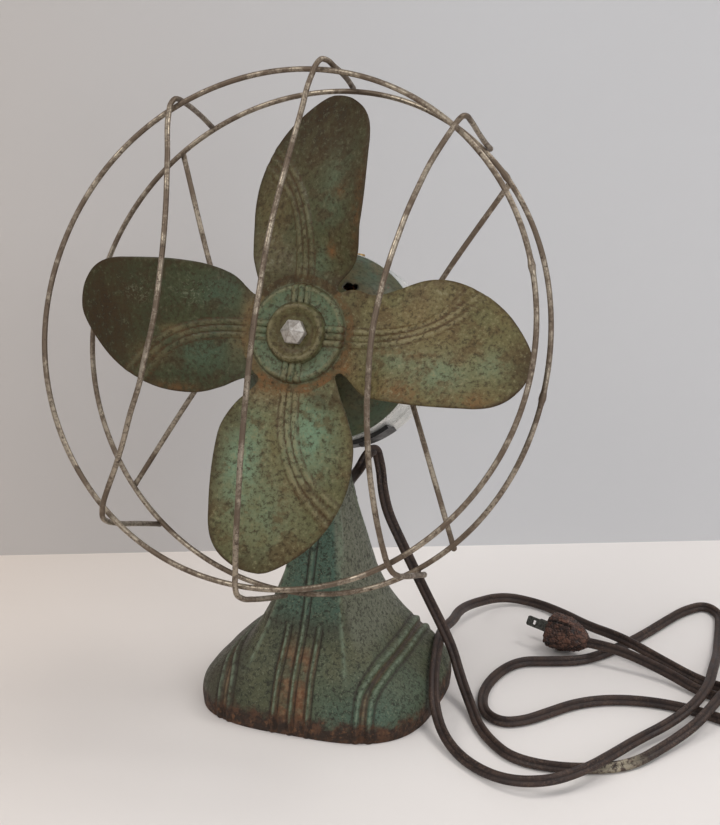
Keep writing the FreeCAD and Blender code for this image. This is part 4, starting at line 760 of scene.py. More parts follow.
# ================================================================ pedestal
BASE_SECTIONS = np.array([
    (0, 68.7, 64.9, 3.2), (8, 68.9, 63.6, 3.4), (16, 66.3, 61.4, 3.6), (24, 58.6, 58.9, 3.8),
    (32, 48.4, 55.8, 3.9), (40, 40.6, 51.0, 3.9), (50, 34.4, 44.6, 3.7), (62, 28.4, 38.4, 3.6),
    (80, 21.4, 31.8, 3.6), (100, 15.9, 25.0, 3.8), (118, 12.0, 18.6, 4.0), (134, 9.6, 13.6, 4.0),
])
FRONT_RIBS = [(-10.3, 60.0), (0.0, 131.0), (10.3, 60.0)]
SHOULDER_RIBS = [
    [(40.2, -70), (38.6, -55), (40.8, -45), (43.2, -22), (43.6, 0)],
    [(47.0, -70), (45.6, -52), (47.2, -40), (48.3, -20), (48.6, 0)],
]
RIB_HEIGHT, RIB_HALF, SHOULDER_RIB_HALF = 1.15, 1.5, 1.65
BASE_TOP, WALL, SEAM_HALF = 134.0, 3, 0.6
# half the width of the neck's front face at heights up the casting: the soft crests at its two sides
CREST_HEIGHTS = [22, 30, 40, 54, 70, 91, 116, 134]
CREST_HALF = [33, 30, 27, 22.3, 18, 15.3, 11.6, 8.4]
CREST_UP, CREST_WIDE = 0.95, 1.15


def distance_to_line(x, y, line):
    """Shortest distance in plan from each point to a line of many points."""
    return np.min([np.hypot(x - px, y - py) for px, py in line], axis=0)


def bead(distance, half=RIB_HALF):
    """Rounded ridge: 1 on its middle line, falling to 0 at half."""
    return np.maximum(0.0, 1 - (distance / half)**2)**1.4


def casting_rings(heights, around, inset=0):
    """The casting's outline |x/a|^n + |y/b|^n = 1 at each height, drawn in by the inset."""
    a, b, n = (cubic(BASE_SECTIONS[:, 0], BASE_SECTIONS[:, k], heights)[:, None] for k in (1, 2, 3))
    c, s = np.cos(around), np.sin(around)
    r = (np.abs(c / (a - inset))**n + np.abs(s / (b - inset))**n)**(-1 / n)
    return np.stack([r * c, r * s, np.broadcast_to(heights[:, None], r.shape)], axis=-1)


def base_casting():
    """Flared shell, with a, b and n of its section smooth along the height.

    Beads stand up along its normal, with a narrow seam on each side, the neck's front and rear faces sag
    a little between soft crests. Inner wall: the same sections drawn in by the wall's thickness."""
    heights = np.concatenate([np.linspace(0, 14, 16)[:-1], np.linspace(14, 50, 74)[:-1],
                              np.linspace(50, BASE_TOP, 66)])
    around = angle_samples()
    skin = casting_rings(heights, around)
    x, y, z = np.moveaxis(skin, -1, 0)
    half_depth = cubic(BASE_SECTIONS[:, 0], BASE_SECTIONS[:, 2], heights)[:, None]
    normal = unit(np.cross(np.roll(skin, -1, 1) - np.roll(skin, 1, 1), np.gradient(skin, axis=0)))
    front = ease((-y - 6) / 8)
    up, seam = np.zeros_like(x), np.zeros_like(x)
    for place, top in FRONT_RIBS:
        d = np.abs(x - place * (1 - 0.10 * ease((z - 10) / 50)))
        live = front * ease((top - z) / 5)
        up += bead(d) * live * RIB_HEIGHT
        seam += hump(d, RIB_HALF + 0.6, SEAM_HALF) * live
    clear = 1 - np.clip(up / RIB_HEIGHT, 0, 1)
    groove = ease((12.5 - np.abs(x)) / 2.0) * front * ease((58 - z) / 22) * clear
    mirrored_y = -np.abs(y)
    for knots in SHOULDER_RIBS:
        d = distance_to_line(np.abs(x), mirrored_y, smooth_line(knots, 240))
        up += bead(d, SHOULDER_RIB_HALF) * RIB_HEIGHT
        seam += hump(d, 2.3, SEAM_HALF)
    ledge = ease(distance_band(np.abs(x), mirrored_y) / 1.2) * (1 - np.clip(up / RIB_HEIGHT, 0, 1))
    seam = np.clip(seam, 0, 1)
    crest_x = np.interp(z, CREST_HEIGHTS, CREST_HALF)
    faces_front = ease((np.abs(y) - 0.55 * half_depth) / 4)
    crest = hump(np.abs(x), crest_x, CREST_WIDE) * faces_front * ease((z - 26) / 14)
    inside = np.clip(np.abs(x) / crest_x, 0, 1)
    between = (inside < 1) * faces_front
    hollow = np.sin(np.pi * inside)**2 * between * ease((z - 34) / 18)
    sag = -0.35 * (groove + ledge) - 0.45 * seam - 0.55 * hollow
    wobble = 0.10 * np.sin(x * 0.31 + z * 0.17) * np.sin(y * 0.27 - z * 0.11)
    lift = up + sag + CREST_UP * crest + wobble * ease(z / 6)
    lift *= ease((z + 1.0) / 2.5) * 0.75 + 0.25
    outer = skin + normal * lift[..., None]
    outer[..., 2] = np.maximum(outer[..., 2], 0.0)
    outer[-1, :, 2] = BASE_TOP
    right_foot = np.exp(-(((x - 40) / 24)**2 + ((z - 14) / 13)**2)) * front
    left_shade = ease((-x - 24) / 16) * ease((70 - z) / 20) * 0.75
    values = {
        # ridge: bead tops and the neck's crests, lightened partly as painted highlight
        "ridge": np.clip(up / RIB_HEIGHT * 1.2 - 0.35, 0, 1) + crest * 0.8, "groove": groove, "ledge": ledge,
        "seam": seam, "teal": np.maximum(between * ease((z - 46) / 22), right_foot),
        # grey: painted light on the sides that face right, above the flare and off the beads
        "grey": ease((normal[..., 0] - 0.55) / 0.25) * ease((z - 38) / 14) * (1 - up / RIB_HEIGHT),
        "dark": left_shade + hump(z, 57, 4) * front * (np.abs(x) < 26) * 0.55,
    }
    inner = casting_rings(np.linspace(BASE_TOP - WALL, 0, 24), around, WALL)
    foot = outer[:1] * np.array([0.985, 0.985, 0.0])
    rings = np.concatenate([inner, foot, outer])
    unmarked = np.zeros((len(rings) - len(outer), len(around)))
    marks = {key: np.concatenate([unmarked, np.clip(value, 0, 1)]) for key, value in values.items()}
    poles = [[0, 0, BASE_TOP - WALL], [0, 0, BASE_TOP]]
    return closed_skin("base_casting", rings, poles, "pedestal", ["base_shell"], PAINT_BASE, 50,
                       marks)


def angle_samples():
    """Angles round the base, closer together where beads run down its front and shoulders."""
    a = np.linspace(-np.pi, np.pi, 4001)[:-1]
    dense = 1.0 + 2.2 * hump(a, -np.pi / 2, 0.34)
    for middle in (-0.93, -np.pi + 0.93, 0.93, np.pi - 0.93):
        dense += 1.3 * hump(a, middle, 0.30)
    total = np.cumsum(dense)
    total = (total - total[0]) / (total[-1] - total[0] + dense[0])
    return np.interp(np.linspace(0, 1, 540, endpoint=False), total, a)


def distance_band(x, y):
    """How far a point lies inside the strip between the two shoulder beads, in plan."""
    inner, outer = smooth_line(SHOULDER_RIBS[0], 200), smooth_line(SHOULDER_RIBS[1], 200)
    xi = np.interp(y, inner[:, 1], inner[:, 0])
    xo = np.interp(y, outer[:, 1], outer[:, 0])
    return np.minimum(x - xi - 1.0, xo - x - 1.0)


base_casting()

# ================================================================ blades
BLADE_ROOT_Y = HUB_Y + 8.0
BLADE_SHEET = 1.0
TIP_OUT = 129.4
# circle that the notches between two blades reach in to, and their place clockwise from a blade's middle
NOTCH_R, NOTCH_ANGLE = 31.6, math.radians(39.2)
CLOCKWISE_EDGE = [
    (24.49, -19.97), (25.48, -19.2), (27.2, -19.04), (29.7, -20.3), (32.9, -22.7), (36.0, -25.4),
    (39.9, -28.1), (44, -29.8), (52, -31.5), (60, -32.1), (72, -32.5), (86, -32.2), (97, -31.6),
    (107, -30.8), (113, -29.4), (118, -27.0), (122, -23.8), (125, -20.0), (127.4, -15.8), (128.8, -11.0),
    (129.3, -7.5), (TIP_OUT, -4.0),
]
COUNTER_EDGE = [
    (19.97, 24.49), (20.9, 24.1), (22.3, 24.3), (24.2, 25.2), (27.1, 26.5), (30.6, 28.0), (34.9, 30.0),
    (38.6, 31.7), (44, 33.4), (52, 35.5), (60, 36.7), (70, 37.0), (80, 36.1), (88, 34.1), (95, 31.3),
    (102, 28.0), (107, 24.8), (113, 20.0), (119, 13.7), (123.4, 8.2), (126.7, 3.2), (128.7, -1.0),
    (TIP_OUT, -4.0),
]
# middle lines of the three pressed ribs of a blade, (out, across)
BLADE_RIBS = [
    [(27, 3.4), (45, 4.5), (57.5, 6.8), (69, 11.2), (77.5, 17.4), (84.5, 25.0), (90.5, 33)],
    [(27, 0.0), (45, 1.0), (59, 3.7), (71.5, 8.7), (81.5, 15.3), (89, 22.8), (95.5, 30.5)],
    [(27, -3.4), (45, -2.4), (60, 0.8), (74, 6.2), (84.5, 12.8), (93, 20.4), (100.5, 28.5)],
]
RIB_UP, RIB_WIDE, HUB_RIB_UP, HUB_RIB_WIDE, HUB_RIB_APART = 1.0, 1.6, 1.25, 1.3, 3.7
# pressed steps of the hub: radius and how far they stand ahead of the root plane
HUB_PROFILE = [
    (3.0, 3.9), (8.8, 3.9), (9.8, 4.0), (11.6, 4.5), (13.1, 5.2), (13.9, 5.65), (14.6, 5.7), (15.1, 5.2),
    (15.5, 4.0), (15.9, 2.7), (16.5, 2.0), (17.6, 1.8), (20.5, 1.9), (22.8, 2.25), (23.9, 2.6),
    (24.6, 2.75), (25.0, 2.4), (25.35, 1.5), (25.8, 0.5), (26.4, 0.1), (27.2, 0.0), (40.0, 0.0),
]
ROOT_DIPS = [0.0, 8.0, 0.0, 0.0]           # how far each blade's counter-clockwise root corner is knocked in
BLADE_PAINTED_LIGHT = [0.34, 0.98, 0.95, 0.10]     # up, right, down, left: painted light, how light each blade's lacquer is made for the way it faces the lamps
# (blade, colour, out, across, reach out, reach across, strength) of the patches in the lacquer
PATCHES = [
    (0, "dark", 116, 2, 24, 34, 1.0), (0, "dark", 104, 22, 16, 10, 0.55),
    (0, "dark", 84, -31, 34, 6, 0.75), (0, "teal", 84, -13, 20, 8, 0.55), (0, "teal", 40, -8, 9, 6, 0.5),
    (0, "tan", 60, 24, 24, 11, 0.45), (0, "rust", 46, -15, 3.2, 2.6, 0.9),
    (0, "rust", 77, -18, 3.5, 3.0, 0.6), (0, "rust", 66, -30, 22, 2.5, 0.5),
    (0, "dark", 27.5, -4, 3.6, 18, 1.0), (0, "tan", 96, -6, 18, 12, 0.25),
    (1, "tan", 66, 16, 26, 12, 0.55), (1, "tan", 96, -4, 20, 18, 0.35), (1, "teal", 84, -14, 15, 9, 0.6),
    (1, "teal", 108, -8, 9, 7, 0.55), (1, "teal", 62, -10, 12, 6, 0.35), (1, "rust", 66, -27, 13, 5, 0.6),
    (1, "rust", 103, -29, 9, 5, 0.7), (1, "dark", 127, -6, 7, 26, 0.75),
    (1, "rust", 56, -5.5, 22, 2.2, 0.4), (1, "dark", 46, 0, 12, 8, 0.3),
    (1, "rust", 29, -15, 3.5, 7, 0.9), (1, "dark", 30, 10, 6, 12, 0.45), (1, "tan", 30, 14, 8, 8, 0.5),
    (2, "teal", 52, 14, 22, 12, 1.0), (2, "teal", 74, -18, 26, 10, 0.95),
    (2, "teal", 96, -4, 22, 16, 0.5), (2, "tan", 86, 6, 16, 8, 0.4), (2, "dark", 72, -33, 22, 6, 0.55),
    (2, "dark", 50, -26, 10, 6, 0.5), (2, "rust", 29, -6, 4.6, 18, 1.0), (2, "dark", 34, 20, 5, 9, 0.7),
    (2, "dark", 126, -4, 7, 26, 0.6), (2, "tan", 34, -16, 6, 10, 0.6), (3, "dark", 114, -2, 20, 36, 1.0),
    (3, "dark", 96, 4, 16, 14, 0.4), (3, "teal", 56, 14, 17, 9, 0.8), (3, "teal", 46, -18, 15, 8, 0.6),
    (3, "scuff", 92, -15, 7, 5, 1.0), (3, "scuff", 60, -17, 10, 6, 1.0), (3, "tan", 71, 4.5, 8, 2.6, 1.0),
    (3, "tan", 86, 18, 12, 5, 0.55), (3, "tan", 29, -7, 4.5, 12, 1.0), (3, "tan", 33, 8, 5, 7, 0.8),
    (3, "rust", 70, 36, 16, 3, 0.6),
]
HUB_ROOTS = {"dark": (0.9, 0.4, 0.25, 0.2), "rust": (0.1, 0.45, 0.75, 0.25), "tan": (0.2, 0.3, 0.4, 0.8)}


def blade_rise(out, across):
    """How far the sheet lies behind its root plane: pitch across, and a shallow bow along its length."""
    past = out - 30.0
    rise = 0.363 * across - 0.151 * past + 15.7 * (past / 100)**2 - 0.83 * (across / 30)**2
    return ease(past / 30.0) * rise


def rib_height(out, across):
    """Pressed ribs of a blade and the three short ones of the hub, as height and as the seams beside them."""
    up, seam = np.zeros_like(out), np.zeros_like(out)
    live = ease((out - 28.5) / 5.0)
    for knots in BLADE_RIBS:
        d = distance_to_line(out, across, smooth_line(knots, 260))
        up += bead(d, RIB_WIDE) * RIB_UP * live
        seam += hump(d, RIB_WIDE + 0.15, 0.42) * live
    radius = np.hypot(out, across)
    live = ease((radius - 15.9) / 0.8) * ease((27.2 - radius) / 1.2) * (out > 0)
    for place in (-HUB_RIB_APART, 0.0, HUB_RIB_APART):
        d = np.abs(across - place)
        up += bead(d, HUB_RIB_WIDE) * HUB_RIB_UP * live
        seam += hump(d, HUB_RIB_WIDE + 0.35, 0.5) * live
    return up, np.clip(seam, 0, 1)


def patch_marks(blade, out, across):
    """Strength of each colour's patches at points of a blade."""
    found = {key: np.zeros_like(out) for key in ("teal", "tan", "dark", "rust", "scuff")}
    for which, key, at_out, at_across, reach_out, reach_across, strength in PATCHES:
        if which == blade:
            far = ((out - at_out) / reach_out)**2 + ((across - at_across) / reach_across)**2
            found[key] = np.maximum(found[key], strength * np.exp(-0.8 * far))
    return found


MARK_NAMES = ("tone", "teal", "tan", "dark", "rust", "scuff", "ridge", "seam", "rim")
ROOT_END = 60                                               # where the rows near the root end
COLUMNS, ROOT_ROWS, TIP_ROWS = 64, 48, 60


def edge_points(knots):
    """Points of a blade's edge, one for each row: evenly out from the root, then closer towards the tip."""
    line = smooth_line(knots, 1200)
    root_outs = knots[0][0] + (ROOT_END - knots[0][0]) * np.linspace(0, 1, ROOT_ROWS)[1:]
    tip_outs = ROOT_END + (TIP_OUT - ROOT_END) * np.sin(np.linspace(0, np.pi / 2, TIP_ROWS))[1:]
    out = np.concatenate([root_outs, tip_outs])
    return np.stack([out, np.interp(out, np.maximum.accumulate(line[:, 0]), line[:, 1])], axis=1)


def about_shaft(x, y, z, turn):
    """Points of the shaft's frame, turned about the shaft."""
    c, s = math.cos(turn), math.sin(turn)
    return np.stack([x * c - z * s, y, x * s + z * c], axis=-1)


def hub_marks(radius, hub_up, hub_seam, quarter):
    """Marks of one quarter of the hub."""
    root = ease((radius - 26.0) / 2.5)
    # ridge: the hub's ribs and the lips of its inner disc and outer ring, lightened as painted highlight
    ridge = hub_up / HUB_RIB_UP + hump(radius, 14.3, 0.7) + 0.8 * hump(radius, 24.6, 0.6)
    # seam: painted shade in the grooves at the feet of the hub's steps, and darker lines beside its ribs
    seam = hub_seam + hump(radius, 16.2, 0.6) + hump(radius, 26.0, 0.7) + hump(radius, 10.0, 0.7) * 0.6
    # tone: one middle lightness for the hub, on the blades' painted-light scale
    hub = {"tone": np.full(radius.shape, 0.55), "scuff": 0 * radius, "rim": 0 * radius,
           "teal": 0.6 * ease((radius - 15.2) / 0.8) * (1 - root),
           "ridge": np.clip(ridge, 0, 1), "seam": np.clip(seam, 0, 1)}
    for key, strengths in HUB_ROOTS.items():
        hub[key] = root * strengths[quarter]
    hub["tan"] = np.maximum(hub["tan"], 0.25 * (radius < 14.5))
    return hub


def blade_spider():
    """Hub and four blades in one pressed sheet.

    Hub: rings of points from the shaft's hole to the notches' circle, with the stepped profile as height.
    Blade: rows across the sheet from one edge to the other; the first row is the circle's arc, and its bow
    is eased out along the blade."""
    u = np.linspace(0, 1, COLUMNS + 1)
    angles = -NOTCH_ANGLE + math.pi / 2 * u
    left, right = edge_points(CLOCKWISE_EDGE), edge_points(COUNTER_EDGE)
    arc = NOTCH_R * np.stack([np.cos(angles), np.sin(angles)], axis=1)
    u = u[:, None]
    bowed = arc - (arc[:1] * (1 - u) + arc[-1:] * u)
    bow = 1 - ease(((left[:, 0] + right[:, 0]) / 2 - 22.2) / 42.0)
    flat = left[:, None] * (1 - u) + right[:, None] * u + bow[:, None, None] * bowed
    out, across = flat[..., 0], flat[..., 1]
    hub_profile = np.array(HUB_PROFILE)
    radii = np.concatenate([np.linspace(3.02, 12, 6)[:-1], np.linspace(12, 27.5, 62)[:-1],
                            np.linspace(27.5, NOTCH_R, 10)])
    all_points, faces, marks, first = [], [], {key: [] for key in MARK_NAMES}, 0
    ring_out = radii[:, None] * np.cos(angles)[None, :-1]
    ring_across = radii[:, None] * np.sin(angles)[None, :-1]
    ring_radius = np.broadcast_to(radii[:, None], ring_out.shape)
    hub_up, hub_seam = np.zeros_like(ring_out), np.zeros_like(ring_out)
    for o, w in ((ring_out, ring_across), (ring_across, -ring_out), (-ring_across, ring_out)):
        more_up, more_seam = rib_height(o, w)
        hub_up, hub_seam = np.maximum(hub_up, more_up), np.maximum(hub_seam, more_seam)
    hub_y = BLADE_ROOT_Y - np.interp(radii, hub_profile[:, 0], hub_profile[:, 1])[:, None] - hub_up
    hub_y = hub_y + blade_rise(ring_out, ring_across)
    blade_up, blade_seam = rib_height(out, across)
    radius = np.hypot(out, across)
    edge = np.minimum(across - left[:, 1:], right[:, 1:] - across)
    fade = ease(edge / 2.5)
    blade_y = BLADE_ROOT_Y + blade_rise(out, across) - blade_up * (0.35 + 0.65 * fade)
    edge = np.minimum(edge, (TIP_OUT - out) * 1.2)
    ripple = 0.22 * np.sin(out * 0.11 + across * 0.05) * ease((out - 60) / 40)
    turns = [0.0, -math.pi / 2, math.pi, math.pi / 2]      # up, right, down, left; counter-clockwise from up
    hub_first = []
    for k, turn in enumerate(turns):
        hub_first.append(first)
        all_points.append(about_shaft(-ring_across, hub_y, ring_out, turn).reshape(-1, 3))
        first += ring_out.size
        hub = hub_marks(ring_radius, hub_up, hub_seam, k)
        for key in MARK_NAMES:
            marks[key].append(hub[key].ravel())
    order = [0, 3, 2, 1]                                    # hub quarters in counter-clockwise order
    quarter = np.arange(ring_out.size).reshape(len(radii), COLUMNS)
    around = np.concatenate([quarter + hub_first[k] for k in order], axis=1)
    wrapped = np.concatenate([around, around[:, :1]], axis=1)
    faces.append(grid_faces(wrapped))
    for k, turn in enumerate(turns):
        dip = ROOT_DIPS[k] * hump(out, 41, np.where(out < 41, 9, 20)) * np.clip((across - 6) / 20, 0, 1)
        points = about_shaft(dip - across, blade_y + ripple * (1 if k % 2 else -1), out, turn)
        all_points += [points[:-1].reshape(-1, 3), points[-1, :1]]
        rows = out.shape[0] - 1
        position = order.index(k)
        own = np.arange(rows * (COLUMNS + 1)).reshape(rows, COLUMNS + 1) + first
        root_row = wrapped[-1:, position * COLUMNS:(position + 1) * COLUMNS + 1]
        stack = np.concatenate([root_row, own], axis=0)
        faces.append(grid_faces(stack))
        pole = first + rows * (COLUMNS + 1)
        faces.append(np.stack([stack[-1, :-1], stack[-1, 1:], np.full(COLUMNS, pole)], axis=1))
        first = pole + 1
        tip = ease((radius - 96) / 30)
        found = patch_marks(k, out, across)
        # painted light: this blade's overall lightness
        found["tone"] = np.full(out.shape, BLADE_PAINTED_LIGHT[k])
        # ridge: rib tops lightened as painted highlight
        found["ridge"] = np.clip(blade_up / RIB_UP * 1.2 - 0.3, 0, 1)
        found["seam"] = blade_seam
        found["rim"] = ease((2.8 - edge) / 2.6) * (0.45 + 0.55 * tip)
        for key in MARK_NAMES:
            marks[key].append(np.concatenate([found[key][:-1].ravel(), found[key][-1, :1]]))
    marks = {key: np.concatenate(values) for key, values in marks.items()}
    spider = surface("blade_spider", from_shaft(np.concatenate(all_points)), faces, "rotor", ["fan_blades"],
                     PAINT_BLADE, 50, marks)
    wall = spider.modifiers.new("sheet", "SOLIDIFY")
    wall.thickness = BLADE_SHEET * MM
    wall.offset = -1.0
    wall.use_even_offset = True
    return spider


def grid_faces(index):
    """Four-sided faces between neighbouring rows and columns of an array of point numbers."""
    return np.stack([index[:-1, :-1], index[:-1, 1:], index[1:, 1:], index[1:, :-1]], axis=-1).reshape(-1, 4)


blade_spider()
SEAT_Y = BLADE_ROOT_Y - HUB_PROFILE[0][1]                   # front face of the hub's middle
NUT_REAR, COLLAR_FRONT = SEAT_Y - 0.84, SEAT_Y + 1.1
NUT_HALF, NUT_CORNER = 6.15, 6.95                           # nut's middle to its flats and blunted corners
# steps of the nut: how far ahead of its rear, and share of its width
NUT_STEPS = [
    (0.0, 0.92), (0.3, 0.99), (0.7, 1.0), (3.6, 1.0), (4.1, 0.975), (4.5, 0.91), (8.4, 0.12), (8.8, 0.05),
]
NUT_TIP = 8.9
THREAD_R, SHAFT_R, BUSH_BORE_R, SHAFT_FRONT, SHAFT_REAR = 2.95, 4.0, 4.05, -86.0, 13.8


def hub_cap_nut():
    """Hexagon nut with six flat facets that meet in a point.

    Section: distance to the nearest of six flats, blunted at the corners; it shrinks evenly to the point."""
    a = full_turn(120)
    folded = np.mod(a + math.radians(30), np.pi / 3) - np.pi / 6
    reach = np.minimum(NUT_HALF / np.cos(folded), NUT_CORNER)
    grid = np.array([np.stack([reach * share * np.sin(a), np.full(len(a), NUT_REAR - ahead),
                               reach * share * np.cos(a)], axis=-1) for ahead, share in NUT_STEPS])
    tapered = np.array([share < 0.95 for _, share in NUT_STEPS])[:, None]
    line = hump(np.abs(folded), np.pi / 6, 0.055) * tapered
    poles = from_shaft(np.array([[0, NUT_REAR, 0], [0, NUT_REAR - NUT_TIP, 0]]))
    return closed_skin("hub_cap_nut", from_shaft(grid), poles, "rotor", ["hub_nut"], NUT_PLATE,
                       14, {"edge": line}, flip=True)


hub_cap_nut()
lathe_piece("hub_ring", [(SEAT_Y - 0.2, 9.3), (SEAT_Y, 9.0), (SEAT_Y, 3.1), (SEAT_Y - 0.75, 3.1),
                         (NUT_REAR, 8.4), (SEAT_Y - 0.6, 9.1)],
            "rotor", ["hub_washer"], WASHER, 72)
lathe_piece("hub_collar", [(COLLAR_FRONT, BUSH_BORE_R), (COLLAR_FRONT, 9.0), (-71.5, 9.0), (-68.5, 6.5),
                           (-68.5, BUSH_BORE_R)], "rotor", ["hub_bush"], BRONZE, 72)
lathe_piece("spindle", [(SHAFT_FRONT, 0), (SHAFT_FRONT, THREAD_R), (COLLAR_FRONT, THREAD_R),
                        (COLLAR_FRONT, SHAFT_R), (SHAFT_REAR, SHAFT_R), (SHAFT_REAR, 0)],
            "rotor", ["shaft"], SCREW_STEEL, 64)

# ================================================================ guard
WIRE_R, WIRE_SIDES, WIRE_STEP = 1.5, 14, 1.3
FRONT_RING_R, FRONT_RING_Y, REAR_RING_R, REAR_RING_Y = 136.0, -104.0, 137.4, -53.1
LEAN_RIGHT, LEAN_TOP = 11.5, 8.0                            # how far ahead the rear ring's right and top lie
# middle lines of the three front wires: tail over the rear ring, elbow, bow, elbow and tail
BOW_LEFT = [
    (-79.3, -46, 115.3), (-77.9, -66, 116.9), (-76.3, -92, 117.5), (-76.1, -102, 117.2),
    (-76.2, -106.6, 116.0), (-76.9, -109.0, 112.6), (-76.4, -110.6, 107.0), (-68.8, -120.4, 81.2),
    (-61.8, -128.2, 51.7), (-59.0, -131.4, 32.7), (-57.8, -132.9, 17.3), (-57.4, -133.5, -1.3),
    (-58.1, -133.2, -11.4), (-59.6, -132.5, -22.8), (-62.2, -130.3, -40), (-66.3, -127.5, -55.2),
    (-70.2, -123.6, -70.7), (-74.4, -119.7, -83.3), (-78.9, -115.8, -94.4), (-81.9, -112.6, -101.5),
    (-83.6, -109.6, -107.2), (-84.2, -106.3, -110.8), (-84.0, -101.5, -112.3), (-83.4, -92, -113.0),
    (-83.2, -64, -112.4), (-83.9, -35.5, -111.9),
]
BOW_CENTRE = [
    (5.4, -56, 139.7), (7.6, -72, 140.0), (8.8, -90, 139.9), (8.4, -98, 140.1), (6.9, -104.5, 141.2),
    (4.9, -108.2, 140.6), (3.0, -109.6, 137.0), (2.0, -110.2, 132.5), (1.3, -113, 124.5),
    (1.5, -116.1, 114.9), (1.1, -121, 97.4), (0.2, -125.8, 76.5), (-1.1, -129.9, 52.4),
    (-1.6, -132, 33.8), (-1.7, -133.3, 12.6), (-2, -133.5, -1.2), (-2, -132.8, -23.5),
    (-2, -130.8, -45.6), (-2.2, -127.5, -67.6), (-2.4, -122.8, -90), (-2.9, -116.8, -112.4),
    (-3.1, -111.2, -129.5), (-3.3, -108.6, -136), (-2.9, -105.6, -140.2), (-1.4, -101, -142),
    (0.6, -92, -142.2), (2.6, -77, -141.6), (1.5, -55, -141.0), (-1.0, -40, -141.0),
]
BOW_RIGHT = [
    (88.6, -61.5, 109.2), (88.4, -68, 109.6), (87.6, -84, 111.8), (86.6, -98, 114.6),
    (85.9, -104.5, 115.4), (84.9, -108.3, 114.2), (83.2, -109.8, 111.4), (82.0, -110.6, 108.6),
    (78.8, -113.5, 100.4), (74.3, -118.5, 86.9), (71.1, -122.7, 73.8), (68, -126.5, 59.5),
    (65.9, -129.1, 47), (63.9, -131.1, 34.6), (62.4, -132.5, 22.6), (61.5, -133.2, 12.2),
    (60.9, -133.5, 4.4), (60.8, -133.2, -12.9), (61.4, -132.3, -24.6), (62, -130.5, -38.8),
    (63.4, -127.9, -53), (65.1, -124.5, -67.2), (67.6, -120.4, -81.3), (70.6, -115.4, -95.5),
    (73.5, -111, -106.5), (76.0, -108.4, -113.5), (78.2, -105.6, -117.4), (79.6, -100.5, -118.9),
    (80.2, -90, -119.2), (79.6, -70, -119.0), (78.6, -48.5, -118.6),
]
# the two V struts: foot behind the rear ring, round the screw on the motor's cover, and the other foot
STRUT_LEFT = [
    (-95.3, -48, 99.8), (-68.8, -46.9, 35.5), (-55.0, -46.3, 5.5), (-50.6, -46.2, 2.2),
    (-48.0, -46.2, 3.0), (-45.0, -46.2, 2.9), (-43.0, -46.2, 0.6), (-43.8, -46.2, -2.0),
    (-46.2, -46.2, -3.1), (-49.0, -46.2, -2.2), (-53.5, -46.1, -7.5), (-72.0, -43.4, -38.7),
    (-102.8, -36.3, -92.4),
]
STRUT_RIGHT = [
    (102.2, -64, 91.0), (68.2, -52, 38.3), (52.0, -46.6, 8.5), (48.8, -46.2, 3.4), (46.2, -46.2, 3.4),
    (43.6, -46.2, 2.2), (43.0, -46.2, -0.4), (44.4, -46.2, -2.7), (47.2, -46.2, -3.0),
    (49.6, -46.3, -7.0), (61.5, -47.9, -32.4), (93.9, -52, -102.6),
]


def front_circle(a):
    """Front ring: a flat circle, a little out of true."""
    r = FRONT_RING_R + 0.28 * np.sin(3 * a + 0.7) + 0.12 * np.sin(7 * a + 1.4)
    return np.stack([r * np.sin(a), FRONT_RING_Y + 0.35 * np.sin(2 * a + 0.7), r * np.cos(a)], axis=1)


def rear_circle(a):
    """Rear ring: bent out of round by a wave of three lobes, and leaning forward at its right and top."""
    r = REAR_RING_R - 0.15 * np.cos(2 * a) + 1.6 * np.sin(3 * a) - 0.27 * np.cos(3 * a) + 0.1 * np.sin(7 * a)
    y = REAR_RING_Y - LEAN_RIGHT * np.sin(a) - LEAN_TOP * np.cos(a)
    return np.stack([r * np.sin(a) - 1.0, y, r * np.cos(a) - 0.6], axis=1)


def guard_ring(name, node, circle, welds):
    """Circle of wire with a thick butt weld or two, each an angle and how much it stands out."""
    a = full_turn(480)
    line = circle(a)
    radius = WIRE_R + 0.03 * np.sin(17 * a)
    for angle, more in welds:
        radius = radius + more * hump(half_turns(a - math.radians(angle)) * 137, 0, 2.4)
    outward = unit(from_shaft(line) - from_shaft(line.mean(axis=0)))
    return capped_tube(name, [from_shaft(line)], radius, "head", [node], GUARD, WIRE_SIDES,
                       outward, closed=True)


def guard_wire(name, node, knots):
    """Wire along its knots, with slightly swollen ends."""
    count = int(run_along(np.array(knots))[-1] / WIRE_STEP)
    s = np.linspace(0, 1, count)
    ends = np.minimum(s, 1 - s) * count * WIRE_STEP
    radius = WIRE_R * (1 + 0.12 * hump(ends, 0, 3)) + 0.02 * np.sin(s * 70)
    return capped_tube(name, [from_shaft(smooth_line(knots, count))], radius, "head", [node],
                       GUARD, WIRE_SIDES, (1.0, 0.0, 0.02))


guard_ring("ring_front", "guard_ring_front", front_circle, [(72, 0.55)])
guard_ring("ring_rear", "guard_ring_rear", rear_circle, [(98, 0.6), (47, 0.5)])
guard_wire("bow_left", "guard_wire_left", BOW_LEFT)
guard_wire("bow_centre", "guard_wire_centre", BOW_CENTRE)
guard_wire("bow_right", "guard_wire_right", BOW_RIGHT)
guard_wire("strut_left", "guard_strut_left", STRUT_LEFT)
guard_wire("strut_right", "guard_strut_right", STRUT_RIGHT)

# ================================================================ motor
MOTOR_R, SHEET = 53.5, 1.2
BAND_FRONT, BAND_REAR = -27.0, -4.0
COVER_KNOTS = [(-62.0, 4.3), (-62.0, 11.0), (-60.6, 15.0), (-55.4, 26.0), (-49.4, 35.5), (-42.4, 43.6),
               (-34.4, 50.2), (BAND_FRONT, MOTOR_R)]
VENT_OUT, VENT_ANGLE, VENT_R = 34.8, math.radians(28.8), 3.4
BOSS_OUT, BOSS_FRONT, BOSS_REAR, BOSS_R = 46.0, -45.0, -38.0, 3.2


